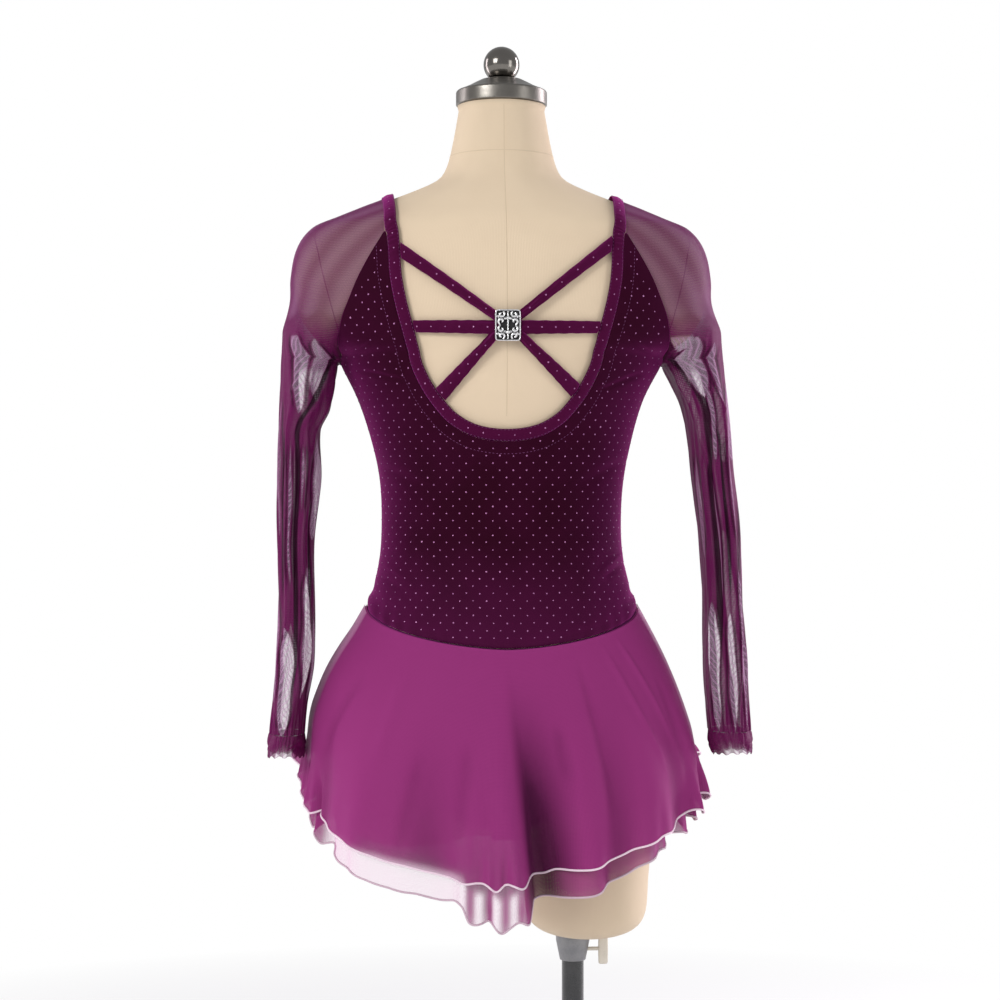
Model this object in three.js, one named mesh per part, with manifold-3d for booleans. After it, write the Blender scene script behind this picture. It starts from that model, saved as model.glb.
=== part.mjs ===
// A long-sleeved figure skating dress on a limbless dress form with a pole stand.
// Millimetres, +Z up. The origin is on the floor, under the middle plane of the dress.
// -Y is the back of the dress, +Y is its front and +X is the wearer's right.
import * as THREE from "three";
import { mergeVertices } from "three/addons/utils/BufferGeometryUtils.js";
import Module from "manifold-3d";

// ---------------------------------------------------------------- driving sizes
const SEAM_GAP = 0.3; // between two pieces sewn to each other
const SEAM_TURN = SEAM_GAP / 150; // the same gap as an angle, where the body is about 150 out
const FORM_INSET = 3.0; // the form lies this far inside the fitting surface of the cloth
const CLOTH_CLEAR = 0.5; // the cloth's inner face lies this far outside the fitting surface
const VELVET = 2.0; // stretch velvet, with its pile
const BINDING = 2.3; // folded velvet band round the neckline
const BINDING_WIDTH = 12;
const MESH = 1.0; // power mesh of the sleeves
const CHIFFON = 1.0; // one layer of the skirt
const BRIEF = 1.2;
const HEM_ROLL = 2.4; // rolled thread edge, height and thickness

const WAIST_SIDE = 697; // height of the waist seam at the side seams
const WAIST_DIP_BACK = 39; // how far the seam dips to the middle of the back
const WAIST_DIP_FRONT = 25;

const POLE_X = 71.5; // the stand carries the form at its right thigh
const POLE_RADIUS = 11;
const POLE_CLEAR = 0.4;
const POLE_TOP = 618;
const BORE_TOP = 743;
const BASE_RADIUS = 180;
const BASE_THICK = 10;
const STUMP_BOTTOM = 368; // flat underside of the right thigh
const CUFF = { top: 571, bottom: 546 };

const rad = THREE.MathUtils.degToRad;
const lerp = THREE.MathUtils.lerp;
const smooth = THREE.MathUtils.smoothstep;

// ---------------------------------------------------------------- tables
// A table is a list of rows with named columns.
function table(columns, rows) {
  return rows.map((row) => Object.fromEntries(columns.map((name, i) => [name, row[i]])));
}

// The fitting surface: an ellipse at each height, with its own half width and depths.
const BODY = table(["z", "side", "back", "front"], [
  [474, 106, 62, 56],
  [478, 134, 84, 76],
  [486, 149, 96, 87],
  [500, 159, 104, 94],
  [540, 165, 112, 98],
  [580, 163, 115, 100],
  [620, 155, 112, 100],
  [660, 142, 103, 98],
  [700, 130, 92, 95],
  [740, 120, 83, 92],
  [780, 117, 80, 93],
  [820, 119, 82, 99],
  [860, 127.5, 88, 109],
  [900, 140, 95, 119],
  [930, 155, 98, 121],
  [943, 163, 99, 119],
  [952, 179, 100, 117],
  [961, 190, 100, 114],
  [980, 203, 100, 107],
  [1000, 208, 99, 99],
  [1020, 209, 96, 90],
  [1050, 203, 90, 80],
  [1070, 187, 84, 71],
  [1080, 163, 80, 66],
  [1090, 138, 74, 60],
  [1100, 114, 68, 55],
  [1110, 88, 62, 51],
  [1120, 67, 57, 50],
  [1130, 59, 54, 50],
  [1150, 53, 50, 49],
  [1193, 45, 45, 45],
]);

// The neckline from the middle of the back, over the shoulder, to the middle of the front.
const NECK_BACK = table(["x", "z"], [
  [0, 868.4],
  [26.7, 872],
  [47.2, 883],
  [60.8, 897.6],
  [71.3, 913],
  [80.8, 934],
  [86, 955],
  [90.5, 972],
  [96.3, 995],
  [100.5, 1021],
  [102, 1047],
  [104.6, 1066],
  [106.5, 1090],
]);
const NECK_SHOULDER = 1102.3;
const NECK_FRONT = table(["x", "z"], [
  [106.5, 1090],
  [103, 1066],
  [96, 1042],
  [83, 1019],
  [61, 1001],
  [32, 991],
  [0, 988],
]);

// The raglan seam from the neckline to the underarm, alike on the back and the front.
const RAGLAN = table(["x", "z"], [
  [116.8, 1058],
  [123, 1048],
  [134.5, 1029],
  [146.2, 1005],
  [154, 986],
  [159.6, 968],
  [162, 955.6],
  [161, 946],
]);
const UNDERARM = 938;

// Each hanging sleeve: how far out its two edges are, and half its depth from back to front.
const SLEEVE_RIGHT = table(["z", "outer", "inner", "half_depth", "y"], [
  [546, 247.5, 212, 30, -16],
  [560, 246.5, 208.5, 31, -16],
  [600, 244.5, 204.5, 36, -15],
  [640, 243.5, 202.5, 39, -13],
  [700, 238.5, 203, 41, -10],
  [760, 235.5, 199.5, 43, -8],
  [820, 229.5, 192.5, 46, -6],
  [880, 225, 186.5, 51, -3],
  [900, 223.5, 181.5, 54, -2],
  [920, 221.5, 173.5, 58, -1],
  [938, 220, 163.5, 62, 0],
  [946, 219.5, 163.5, 64, 0],
  [968, 218.5, 163.5, 69, 0],
  [1005, 215.5, 163.5, 73, 0],
  [1040, 208, 163.5, 74, 0],
]);
const SLEEVE_LEFT = table(["z", "outer", "inner", "half_depth", "y"], [
  [546, 230, 197.5, 30, -22],
  [560, 229, 197, 31, -22],
  [600, 225.5, 193.5, 35, -20],
  [640, 222, 187, 38, -16],
  [700, 220, 186.5, 41, -12],
  [760, 221, 187, 43, -9],
  [820, 221.5, 180.5, 46, -6],
  [870, 220, 181, 51, -4],
  [890, 219.5, 172, 55, -3],
  [910, 219, 168.5, 58, -2],
  [938, 218, 163.5, 62, 0],
  [946, 217.5, 163.5, 64, 0],
  [968, 217, 163.5, 69, 0],
  [1005, 215.5, 163.5, 73, 0],
  [1040, 208, 163.5, 74, 0],
]);

// How far the skirt stands out from the waist seam, by the drop below the seam.
const FLARE = table(["drop", "left", "right", "back", "front"], [
  [0, 0, 0, 0, 0],
  [20, 12, 11, 11, 9],
  [40, 26, 21.5, 20, 17],
  [60, 38, 31, 28, 24],
  [80, 47, 39, 35, 30],
  [100, 54, 46, 41, 35],
  [120, 57, 52, 47, 39],
  [150, 59.5, 58, 53, 44],
  [190, 63, 60, 58, 48],
  [260, 68, 64, 63, 52],
]);

// Drop of the two hems below the waist seam: long at the back and short in front.
const HEM = table(["angle", "over", "under"], [
  [-180, 138, 156],
  [-140, 143, 162],
  [-110, 152, 176],
  [-85, 179, 196],
  [-63, 190, 217],
  [-37, 203, 230],
  [-20, 209, 234],
  [-12, 211, 245],
  [-6, 214, 252],
  [0, 213, 252],
  [5, 212, 245],
  [12, 207, 234],
  [27, 203, 229],
  [45, 193, 212],
  [65, 188, 204],
  [88, 171, 187],
  [110, 152, 172],
  [140, 143, 162],
  [180, 138, 156],
]);

// The skirt's main folds: a trough has a negative depth. Each starts at a share of the drop.
const FOLDS = table(["angle", "width", "depth", "start"], [
  [6, 9, -26, 0.08],
  [-5, 8, 7, 0.3],
  [22, 8, 6, 0.25],
  [31, 8, -9, 0.1],
  [44, 9, 5, 0.3],
  [57, 8, -7, 0.2],
  [72, 9, 5, 0.35],
  [88, 8, -6, 0.3],
  [106, 9, 7, 0.3],
  [122, 9, -9, 0.2],
  [140, 10, 7, 0.3],
  [158, 9, -10, 0.2],
  [174, 9, 7, 0.3],
  [-169, 9, -9, 0.25],
  [-151, 10, 7, 0.3],
  [-133, 9, -9, 0.2],
  [-116, 9, 6, 0.3],
  [-79, 9, -4, 0.4],
  [-63, 9, -8, 0.3],
  [-44, 10, 6, 0.3],
  [-23, 9, -9, 0.25],
]);

// The straps across the open back: heights of both edges on the neckline, and both corners at
// the bead.
const STRAPS = table(["name", "hand", "neck_top", "neck_low", "top_x", "top_z", "low_x", "low_z"], [
  ["strap_upper_right", 1, 1055, 1039, 9.5, 976.8, 9.5, 970.8],
  ["strap_middle_right", 1, 971.5, 960, 9.5, 968.8, 9.5, 959.6],
  ["strap_lower_right", 1, 911.5, 899, 17.4, 957.4, 12.8, 950.6],
  ["strap_upper_left", -1, 1047, 1031, 9.5, 976.8, 9.5, 970.8],
  ["strap_middle_left", -1, 971.5, 960, 9.5, 968.8, 9.5, 959.6],
  ["strap_lower_left", -1, 907, 895, 17.4, 957.4, 12.8, 950.6],
]);
const BEAD = { width: 24, height: 30, depth: 7, wall: 1.2, middle: 966, out: 1.2 };

// Sections of the two thigh stumps: centre, half width and half depth at each height.
const THIGH_RIGHT = table(["z", "x", "half_width", "half_depth"], [
  [368, 84, 30, 40],
  [370, 84, 40, 50],
  [375, 84, 50.5, 62],
  [383, 84, 57.5, 70],
  [395, 84.5, 60.5, 75],
  [427, 85, 62, 79],
  [470, 87, 64, 80],
  [500, 88, 64, 78],
  [530, 88, 60, 74],
]);
const THIGH_LEFT = table(["z", "x", "half_width", "half_depth"], [
  [462, -88, 36, 48],
  [464, -88, 46, 58],
  [469, -88, 55, 68],
  [478, -88, 60, 74],
  [490, -88, 63, 78],
  [500, -88, 64, 78],
  [530, -88, 60, 74],
]);

// One column of a table at a place between its rows, on a cubic through the rows that takes at
// each row the slope between its two neighbours.
function read(rows, key, column, place) {
  const last = rows.length - 1;
  if (place <= rows[0][key]) return rows[0][column];
  if (place >= rows[last][key]) return rows[last][column];
  const i = rows.findIndex((row) => row[key] > place) - 1;
  const slope = (j) => {
    const before = rows[Math.max(j - 1, 0)];
    const after = rows[Math.min(j + 1, last)];
    return (after[column] - before[column]) / (after[key] - before[key]);
  };
  const width = rows[i + 1][key] - rows[i][key];
  const t = (place - rows[i][key]) / width;
  const rise = rows[i + 1][column] - rows[i][column];
  const bend = (1 - t) * (slope(i) * width - rise) + t * (rise - slope(i + 1) * width);
  return rows[i][column] + t * rise + t * (1 - t) * bend;
}

// ---------------------------------------------------------------- the fitting surface
// An angle of 0 is the middle of the back, 90 degrees the right side, 180 the middle of the front.
function onSurface(angle, z) {
  const depth = Math.cos(angle) > 0 ? "back" : "front";
  return new THREE.Vector3(
    read(BODY, "z", "side", z) * Math.sin(angle),
    -read(BODY, "z", depth, z) * Math.cos(angle),
    z,
  );
}

function surfaceNormal(angle, z) {
  const step = 0.02;
  const around = onSurface(angle + step, z).sub(onSurface(angle - step, z));
  const up = onSurface(angle, z + 1).sub(onSurface(angle, z - 1));
  return around.cross(up).normalize();
}

// A point that lies `out` outside the fitting surface, on `hand` 1 (right) or -1 (left).
function skin({ angle, z }, out, hand = 1) {
  return onSurface(hand * angle, z).addScaledVector(surfaceNormal(hand * angle, z), out);
}

// The place on the surface, as an angle and a height, of a point at x on the back or the front.
function placeAt({ x, z }, face) {
  const angle = Math.asin(Math.min(1, x / read(BODY, "z", "side", z)));
  return { angle: face === "back" ? angle : Math.PI - angle, z };
}

// The place on the surface at the height of a free point, in its direction.
function placeUnder(point) {
  const depth = point.y < 0 ? "back" : "front";
  const across = point.x / read(BODY, "z", "side", point.z);
  return { angle: Math.atan2(across, -point.y / read(BODY, "z", depth, point.z)), z: point.z };
}

function between(a, b, t) {
  return { angle: lerp(a.angle, b.angle, t), z: lerp(a.z, b.z, t) };
}

function waist(angle) {
  const cos = Math.cos(angle);
  const dip = cos > 0 ? WAIST_DIP_BACK : WAIST_DIP_FRONT;
  return WAIST_SIDE - dip + dip * (1 - Math.abs(cos)) ** 0.8;
}

// ---------------------------------------------------------------- neckline and raglan seam
const NECK = [
  ...NECK_BACK.map((row) => placeAt(row, "back")),
  { angle: Math.PI / 2, z: NECK_SHOULDER },
  ...NECK_FRONT.map((row) => placeAt(row, "front")),
].map((place, step) => ({ ...place, step }));
NECK.unshift({ angle: -NECK[1].angle, z: NECK[1].z, step: -1 });
NECK.push({ angle: 2 * Math.PI - NECK.at(-2).angle, z: NECK.at(-2).z, step: NECK.length - 1 });
const NECK_END = NECK.length - 3;
const NECK_OVER_SHOULDER = NECK_BACK.length;

function neck(step) {
  return { angle: read(NECK, "step", "angle", step), z: read(NECK, "step", "z", step) };
}

// The place `away` beside the neckline, on the cloth's side of it, at right angles to the edge.
function besideNeck(step, away) {
  const { angle, z } = neck(step);
  const ahead = neck(step + 0.05);
  const behind = neck(step - 0.05);
  const along = onSurface(ahead.angle, ahead.z).sub(onSurface(behind.angle, behind.z)).normalize();
  const side = along.cross(surfaceNormal(angle, z));
  const place = placeUnder(onSurface(angle, z).addScaledVector(side, away));
  if (angle > 2 && place.angle < 0) place.angle += 2 * Math.PI;
  if (step === 0) place.angle = 0;
  if (step === NECK_END) place.angle = Math.PI;
  return place;
}

const RAGLAN_PLACES = [
  ...RAGLAN.map((row) => placeAt(row, "back")),
  { angle: Math.PI / 2, z: UNDERARM },
].map((place, step) => ({ ...place, step }));
const RAGLAN_END = RAGLAN_PLACES.length - 1;

// The raglan seam by step, or at a height, on the back or mirrored onto the front.
function raglan(step, face) {
  const angle = read(RAGLAN_PLACES, "step", "angle", step);
  const z = read(RAGLAN_PLACES, "step", "z", step);
  return { angle: face === "back" ? angle : Math.PI - angle, z };
}

// The step at which a falling or rising function of step reaches a value.
function stepWhere(value, of, from, to) {
  let low = from;
  let high = to;
  const rising = of(to) > of(from);
  for (let i = 0; i < 40; i += 1) {
    const middle = (low + high) / 2;
    if (of(middle) < value === rising) low = middle;
    else high = middle;
  }
  return (low + high) / 2;
}

function raglanAt(z, face) {
  return raglan(stepWhere(z, (step) => raglan(step, face).z, 0, RAGLAN_END), face);
}

const NECK_RISE = 8; // from this step on the neckline only rises to the shoulder

// Where the raglan seam meets the outer edge of the neckline binding.
const JUNCTION = {
  back: stepWhere(RAGLAN[0].z, bindingHeight, NECK_RISE, NECK_OVER_SHOULDER),
  front: stepWhere(RAGLAN[0].z, bindingHeight, NECK_OVER_SHOULDER, NECK_END),
};

function bindingHeight(step) {
  return besideNeck(step, BINDING_WIDTH).z;
}

// ---------------------------------------------------------------- walls of cloth
// A wall is a set of nodes, each with a point on the inner and one on the outer face, joined by
// four-sided cells. Nodes at one place are one node, so two grids that meet are one wall.
class Wall {
  constructor() {
    this.nodes = [];
    this.index = new Map();
    this.triangles = [];
  }
  node([inner, outer]) {
    const key = outer.toArray().map((value) => Math.round(value * 50) + 0).join();
    if (!this.index.has(key)) {
      this.index.set(key, this.nodes.length);
      this.nodes.push([inner, outer]);
    }
    return this.index.get(key);
  }
  triangle(a, b, c) {
    if (a !== b && b !== c && a !== c) this.triangles.push([a, b, c]);
  }
  // A grid whose first direction runs to the right and second one upwards, seen from outside.
  grid(columns, rows, place) {
    const ids = [];
    for (let i = 0; i <= columns; i += 1) {
      ids.push([]);
      for (let j = 0; j <= rows; j += 1) ids[i].push(this.node(place(i / columns, j / rows)));
    }
    for (let i = 0; i < columns; i += 1) {
      for (let j = 0; j < rows; j += 1) {
        this.triangle(ids[i][j], ids[i + 1][j], ids[i + 1][j + 1]);
        this.triangle(ids[i][j], ids[i + 1][j + 1], ids[i][j + 1]);
      }
    }
    return this;
  }
  geometry() {
    const count = this.nodes.length;
    const edges = new Set();
    const faces = [];
    for (const [a, b, c] of this.triangles) {
      faces.push(a + count, b + count, c + count, a, c, b);
      for (const edge of [[a, b], [b, c], [c, a]]) edges.add(edge.join());
    }
    for (const edge of edges) {
      const [a, b] = edge.split(",").map(Number);
      if (edges.has([b, a].join())) continue;
      faces.push(b + count, a + count, a, b + count, a, b);
    }
    const points = [...this.nodes.map((node) => node[0]), ...this.nodes.map((node) => node[1])];
    return closedGeometry(points, faces);
  }
}

function closedGeometry(points, faces) {
  const geometry = new THREE.BufferGeometry().setFromPoints(points);
  geometry.setIndex(faces);
  geometry.computeVertexNormals();
  return geometry;
}

// Both faces of a wall on the fitting surface.
function onSkin(place, thickness, hand = 1) {
  return [skin(place, CLOTH_CLEAR, hand), skin(place, CLOTH_CLEAR + thickness, hand)];
}

// Both faces of a wall on any surface of two numbers, which run to the right and upwards.
function onSheet(surface, u, v, clear, thickness) {
  const step = 0.01;
  const point = surface(u, v);
  const across = surface(Math.min(u + step, 1), v).sub(surface(Math.max(u - step, 0), v));
  const up = surface(u, Math.min(v + step, 1)).sub(surface(u, Math.max(v - step, 0)));
  const normal = across.cross(up).normalize();
  return [
    point.clone().addScaledVector(normal, clear),
    point.clone().addScaledVector(normal, clear + thickness),
  ];
}

// ---------------------------------------------------------------- bodice
const PANEL_COLUMNS = 8;
const PANEL_ROWS_BELOW_NECK = { back: 5, front: 9 };
const PANEL_SHOULDER = 838; // where the row from the bottom of the neckline meets the side seam

// Heights of the corners that a panel shares with the sleeve along the raglan seam.
const RAGLAN_LEVELS = [1058, 1035, 1012, 992, 975, 964, 955, 947, UNDERARM];
const UNDERARM_EASE = 3.5; // the panel stops this far below the sleeve's underarm point

// The outer edge of a panel at its corner `index` of `count`, counted from the shoulder down the
// raglan seam and then the side seam.
function panelSide(index, count, face) {
  const sign = face === "back" ? -1 : 1;
  const last = RAGLAN_LEVELS.length - 1;
  if (index >= last) {
    const share = (index - last) / (count - last);
    const z = lerp(UNDERARM - UNDERARM_EASE, PANEL_SHOULDER, share);
    return { angle: Math.PI / 2 + (sign * SEAM_TURN) / 2, z };
  }
  const place = raglanAt(RAGLAN_LEVELS[index], face);
  const z = place.z - UNDERARM_EASE * (index / last) ** 4;
  return { angle: place.angle + sign * SEAM_TURN, z };
}

// Steps of the neckline where the pieces beside it have their corners, so that both edges of the
// seam have the same corners.
const SHOULDER_CELLS = 7;
const JUNCTION_EASE = 0.12; // a panel's top corner is this many steps below the junction
const SHORTEST_STEP = 0.4; // a shorter last step is joined to the one before it
const PANEL_STEPS = {
  back: evenSteps(0, JUNCTION.back - JUNCTION_EASE, 1),
  front: evenSteps(NECK_END, JUNCTION.front + JUNCTION_EASE, -0.5),
};

function evenSteps(from, to, stride) {
  const steps = [];
  for (let step = from; (to - step) / stride > SHORTEST_STEP; step += stride) steps.push(step);
  return [...steps, to];
}

function shoulderSteps(face) {
  const steps = [];
  for (let i = 1; i <= SHOULDER_CELLS; i += 1) {
    steps.push(lerp(NECK_OVER_SHOULDER, JUNCTION[face], i / SHOULDER_CELLS));
  }
  return steps;
}

function bodicePanel(face) {
  const wall = new Wall();
  const edge = BINDING_WIDTH + SEAM_GAP;
  const steps = PANEL_STEPS[face];
  const rows = steps.length - 1;
  // Row 0 runs from the bottom of the neckline, and the last row is at its top.
  const beside = (u, row) =>
    between(besideNeck(steps[row], edge), panelSide(rows - row, rows, face), u);
  const below = (u, share) => {
    const top = beside(u, 0);
    return { angle: top.angle, z: lerp(waist(top.angle) + SEAM_GAP / 2, top.z, share) };
  };
  for (const hand of [1, -1]) {
    const turned = (hand > 0) === (face === "back");
    const column = (u) => (turned ? u : 1 - u);
    wall.grid(PANEL_COLUMNS, rows, (u, v) =>
      onSkin(beside(column(u), Math.round(v * rows)), VELVET, hand),
    );
    wall.grid(PANEL_COLUMNS, PANEL_ROWS_BELOW_NECK[face], (u, v) =>
      onSkin(below(column(u), v), VELVET, hand),
    );
  }
  return wall.geometry();
}

function necklineBinding() {
  const steps = [
    ...PANEL_STEPS.back,
    ...shoulderSteps("back").reverse(),
    NECK_OVER_SHOULDER,
    ...shoulderSteps("front"),
    ...PANEL_STEPS.front.toReversed(),
  ];
  const last = steps.length - 1;
  const wall = new Wall();
  for (const hand of [1, -1]) {
    wall.grid(last, 1, (u, v) => {
      const corner = Math.round(u * last);
      const step = steps[hand > 0 ? corner : last - corner];
      return onSkin(besideNeck(step, BINDING_WIDTH * (1 - v)), BINDING, hand);
    });
  }
  return wall.geometry();
}

// ---------------------------------------------------------------- straps and bead
const STRAP_GAP = 0.7; // from the neckline's edge to the end of a strap
const STRAP_LIFT = 2.9; // of the straps where they enter the bead
const STRAP_CELLS = 8;

function strap({ hand, neck_top, neck_low, top_x, top_z, low_x, low_z }) {
  const start = (z) => {
    const step = stepWhere(z, (s) => neck(s).z, 0, NECK_OVER_SHOULDER);
    const place = besideNeck(step, -STRAP_GAP);
    return { x: onSurface(place.angle, place.z).x, z: place.z };
  };
  const from = [start(neck_low), start(neck_top)];
  const to = [{ x: low_x, z: low_z }, { x: top_x, z: top_z }];
  const place = (u, v) => {
    const near = { x: lerp(from[0].x, from[1].x, v), z: lerp(from[0].z, from[1].z, v) };
    const far = { x: lerp(to[0].x, to[1].x, v), z: lerp(to[0].z, to[1].z, v) };
    return placeAt({ x: lerp(far.x, near.x, u), z: lerp(far.z, near.z, u) }, "back");
  };
  return new Wall()
    .grid(STRAP_CELLS, 1, (u, v) => {
      const share = hand > 0 ? u : 1 - u;
      const lift = CLOTH_CLEAR + STRAP_LIFT * (1 - share) ** 1.5;
      return [
        skin(place(share, v), lift, hand),
        skin(place(share, v), lift + VELVET, hand),
      ];
    })
    .geometry();
}

function roundedRectangle(width, height, corner) {
  const shape = new THREE.Shape();
  const x = width / 2 - corner;
  const y = height / 2 - corner;
  shape.absarc(x, y, corner, 0, Math.PI / 2);
  shape.absarc(-x, y, corner, Math.PI / 2, Math.PI);
  shape.absarc(-x, -y, corner, Math.PI, Math.PI * 1.5);
  shape.absarc(x, -y, corner, Math.PI * 1.5, Math.PI * 2);
  return shape;
}

// A flat tube, open to both sides, that the straps run through.
function bead() {
  const shape = roundedRectangle(BEAD.depth, BEAD.height, 2);
  const inside = roundedRectangle(BEAD.depth - 2 * BEAD.wall, BEAD.height - 2 * BEAD.wall, 1);
  shape.holes.push(inside);
  const geometry = new THREE.ExtrudeGeometry(shape, {
    depth: BEAD.width,
    bevelEnabled: false,
    curveSegments: 3,
  });
  geometry.translate(0, 0, -BEAD.width / 2);
  geometry.rotateX(Math.PI / 2);
  geometry.rotateZ(Math.PI / 2);
  return geometry;
}

// ---------------------------------------------------------------- sleeves
const CAP_END = 1012; // the sleeve leaves the shoulder below this height
const SLEEVE_FREE = 965; // and hangs free below this one
const CAP_ROWS = 6;
const SLEEVE_LEVELS = [
  CAP_END, 992, 975, 964, 955, 947, 937.5, 920, 890, 850, 790, 720, 650, 610,
  CUFF.top + SEAM_GAP,
];
const SLEEVE_ROWS = CAP_ROWS + SLEEVE_LEVELS.length - 1;
const SLEEVE_COLUMNS = 2 * SHOULDER_CELLS;

// The place on the shoulder at `fall` (0 at the neckline, 1 at CAP_END) and `turn` from -1 at the
// back seam to 1 at the front seam.
function shoulderPlace(fall, turn) {
  const face = turn < 0 ? "back" : "front";
  const sign = turn < 0 ? -1 : 1;
  const share = Math.abs(turn);
  const edge = BINDING_WIDTH + SEAM_GAP;
  const top = (s) => besideNeck(lerp(NECK_OVER_SHOULDER, JUNCTION[face], s), edge);
  const end = (s) => {
    const seam = raglanAt(CAP_END, face).angle;
    return { angle: lerp(Math.PI / 2, seam, s), z: CAP_END };
  };
  const place = between(top(share), end(share), fall);
  const corner = between(top(1), end(1), fall);
  const seam = raglanAt(corner.z, face);
  place.angle += (seam.angle - sign * SEAM_TURN - corner.angle) * share ** 2;
  return place;
}

// A section of the sleeve below the shoulder: an oval that is open at the raglan seam above the
// underarm and closed below it.
function hangingPoint(rows, z, turn) {
  const outer = read(rows, "z", "outer", z);
  const depth = read(rows, "z", "half_depth", z);
  const face = turn < 0 ? "back" : "front";
  let end = Math.PI;
  let half = (outer - read(rows, "z", "inner", z)) / 2;
  if (z > UNDERARM) {
    const place = raglanAt(z, face);
    place.angle += (turn < 0 ? 1 : -1) * SEAM_TURN;
    const seam = onSurface(place.angle, z);
    end = Math.PI - Math.asin(Math.min(1, Math.abs(seam.y) / depth));
    half = (outer - seam.x) / (1 - Math.cos(end));
  }
  const angle = turn * end;
  const x = outer - half * (1 - Math.cos(angle));
  return new THREE.Vector3(x, read(rows, "z", "y", z) + depth * Math.sin(angle), z);
}

function sleevePoint(rows, row, turn) {
  if (row < CAP_ROWS) {
    const place = shoulderPlace(row / CAP_ROWS, turn);
    return onSurface(place.angle, place.z);
  }
  const level = Math.min(Math.floor(row - CAP_ROWS), SLEEVE_LEVELS.length - 2);
  const z = lerp(SLEEVE_LEVELS[level], SLEEVE_LEVELS[level + 1], row - CAP_ROWS - level);
  const hang = hangingPoint(rows, z, turn);
  if (z < SLEEVE_FREE) return hang;
  const seam = raglanAt(z, turn < 0 ? "back" : "front").angle;
  const gap = (turn < 0 ? 1 : -1) * SEAM_TURN;
  const laid = onSurface(lerp(Math.PI / 2, seam + gap, Math.abs(turn)), z);
  return laid.lerp(hang, smooth(-z, -CAP_END, -SLEEVE_FREE));
}

function sleeve(rows, hand) {
  const surface = (u, v) => {
    const turn = hand > 0 ? 2 * u - 1 : 1 - 2 * u;
    const point = sleevePoint(rows, (1 - v) * SLEEVE_ROWS, turn);
    point.x *= hand;
    return point;
  };
  return new Wall()
    .grid(SLEEVE_COLUMNS, SLEEVE_ROWS, (u, v) => {
      const faces = onSheet(surface, u, v, CLOTH_CLEAR, MESH);
      const point = surface(u, v);
      if ((u > 0 && u < 1) || point.z < UNDERARM + 1) return faces;
      const place = placeUnder(point);
      return onSkin(place, MESH);
    })
    .geometry();
}

function cuff(rows, hand) {
  const surface = (u, v) => {
    const turn = hand > 0 ? 2 * u - 1 : 1 - 2 * u;
    const point = hangingPoint(rows, lerp(CUFF.bottom, CUFF.top, v), turn);
    point.x *= hand;
    return point;
  };
  return new Wall()
    .grid(SLEEVE_COLUMNS, 1, (u, v) => onSheet(surface, u, v, CLOTH_CLEAR - 0.5, MESH + 1))
    .geometry();
}

// ---------------------------------------------------------------- skirt
const SKIRT_COLUMNS = 48;
const SKIRT_ROWS = 5;
const SPREAD_DROP = [10, 150]; // the layers draw apart between these drops
const DEEPEST_SHARE = 1.1; // the folds stop deepening a little below the hem
const SKIRT_TOP = 0.6; // the skirt starts this far below the edge of the bodice
const LAYERS = {
  over: { out: 4.4, spread: 0 },
  under: { out: 2.4, spread: -8 },
};

function foldDepth(degrees, share) {
  let sum = 0;
  for (const fold of FOLDS) {
    const apart = ((degrees - fold.angle + 540) % 360) - 180;
    const ridge = Math.exp(-((apart / fold.width) ** 2) * 2);
    sum += fold.depth * ridge * smooth(share, fold.start, DEEPEST_SHARE);
  }
  return sum;
}

// A point on a layer of the skirt at an angle and a drop below the waist seam.
function skirtPoint(layer, degrees, drop) {
  const angle = rad(degrees);
  const top = onSurface(angle, waist(angle));
  const side = degrees < 0 ? "left" : "right";
  const end = Math.cos(angle) > 0 ? "back" : "front";
  const round = Math.sin(angle) ** 2;
  const flare = lerp(read(FLARE, "drop", end, drop), read(FLARE, "drop", side, drop), round);
  const share = drop / read(HEM, "angle", "over", degrees);
  const out =
    LAYERS[layer].out +
    LAYERS[layer].spread * smooth(drop, ...SPREAD_DROP) +
    flare +
    foldDepth(degrees, Math.min(share, DEEPEST_SHARE));
  return new THREE.Vector3(
    top.x + out * Math.sin(angle),
    top.y - out * Math.cos(angle),
    top.z - drop,
  );
}

function skirtWall(layer, from, to, clear, thickness, rows) {
  const surface = (u, v) => {
    const degrees = lerp(-180, 180, u);
    const hem = read(HEM, "angle", layer, degrees);
    return skirtPoint(layer, degrees, lerp(to(hem), from(hem), v));
  };
  return new Wall()
    .grid(SKIRT_COLUMNS, rows, (u, v) => onSheet(surface, u === 1 ? 0 : u, v, clear, thickness))
    .geometry();
}

function skirt(layer) {
  return skirtWall(layer, () => SKIRT_TOP, (hem) => hem, 0, CHIFFON, SKIRT_ROWS);
}

function skirtHem(layer) {
  const start = (hem) => hem + SEAM_GAP;
  const end = (hem) => hem + SEAM_GAP + HEM_ROLL;
  return skirtWall(layer, start, end, (CHIFFON - HEM_ROLL) / 2, HEM_ROLL, 1);
}

// ---------------------------------------------------------------- brief
const LEG_SIDE = 604; // height of the leg opening at the side
const CROTCH_WIDTH = 13; // half width of the piece between the legs
const BRIEF_COLUMNS = 7; // on each quarter round the body
const BRIEF_ROWS = 5;
const BRIEF_BOTTOM = 486;
const CROTCH_ANGLE = Math.asin(CROTCH_WIDTH / read(BODY, "z", "side", BRIEF_BOTTOM));
const LEG_CURVE = 0.7; // below 1 the leg opening rises steeply beside the crotch
const ROW_CROWD = 1.6; // above 1 the rows lie closer at the leg opening
const UNDER_CURVE = 16; // the strip under the body is level with a short turn at both ends
const UNDER_CELLS = 10;

function legLine(angle) {
  const across = Math.abs(Math.sin(angle));
  const share = smooth(Math.asin(across), CROTCH_ANGLE, Math.PI / 2);
  return lerp(BRIEF_BOTTOM, LEG_SIDE, share ** LEG_CURVE);
}

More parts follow.
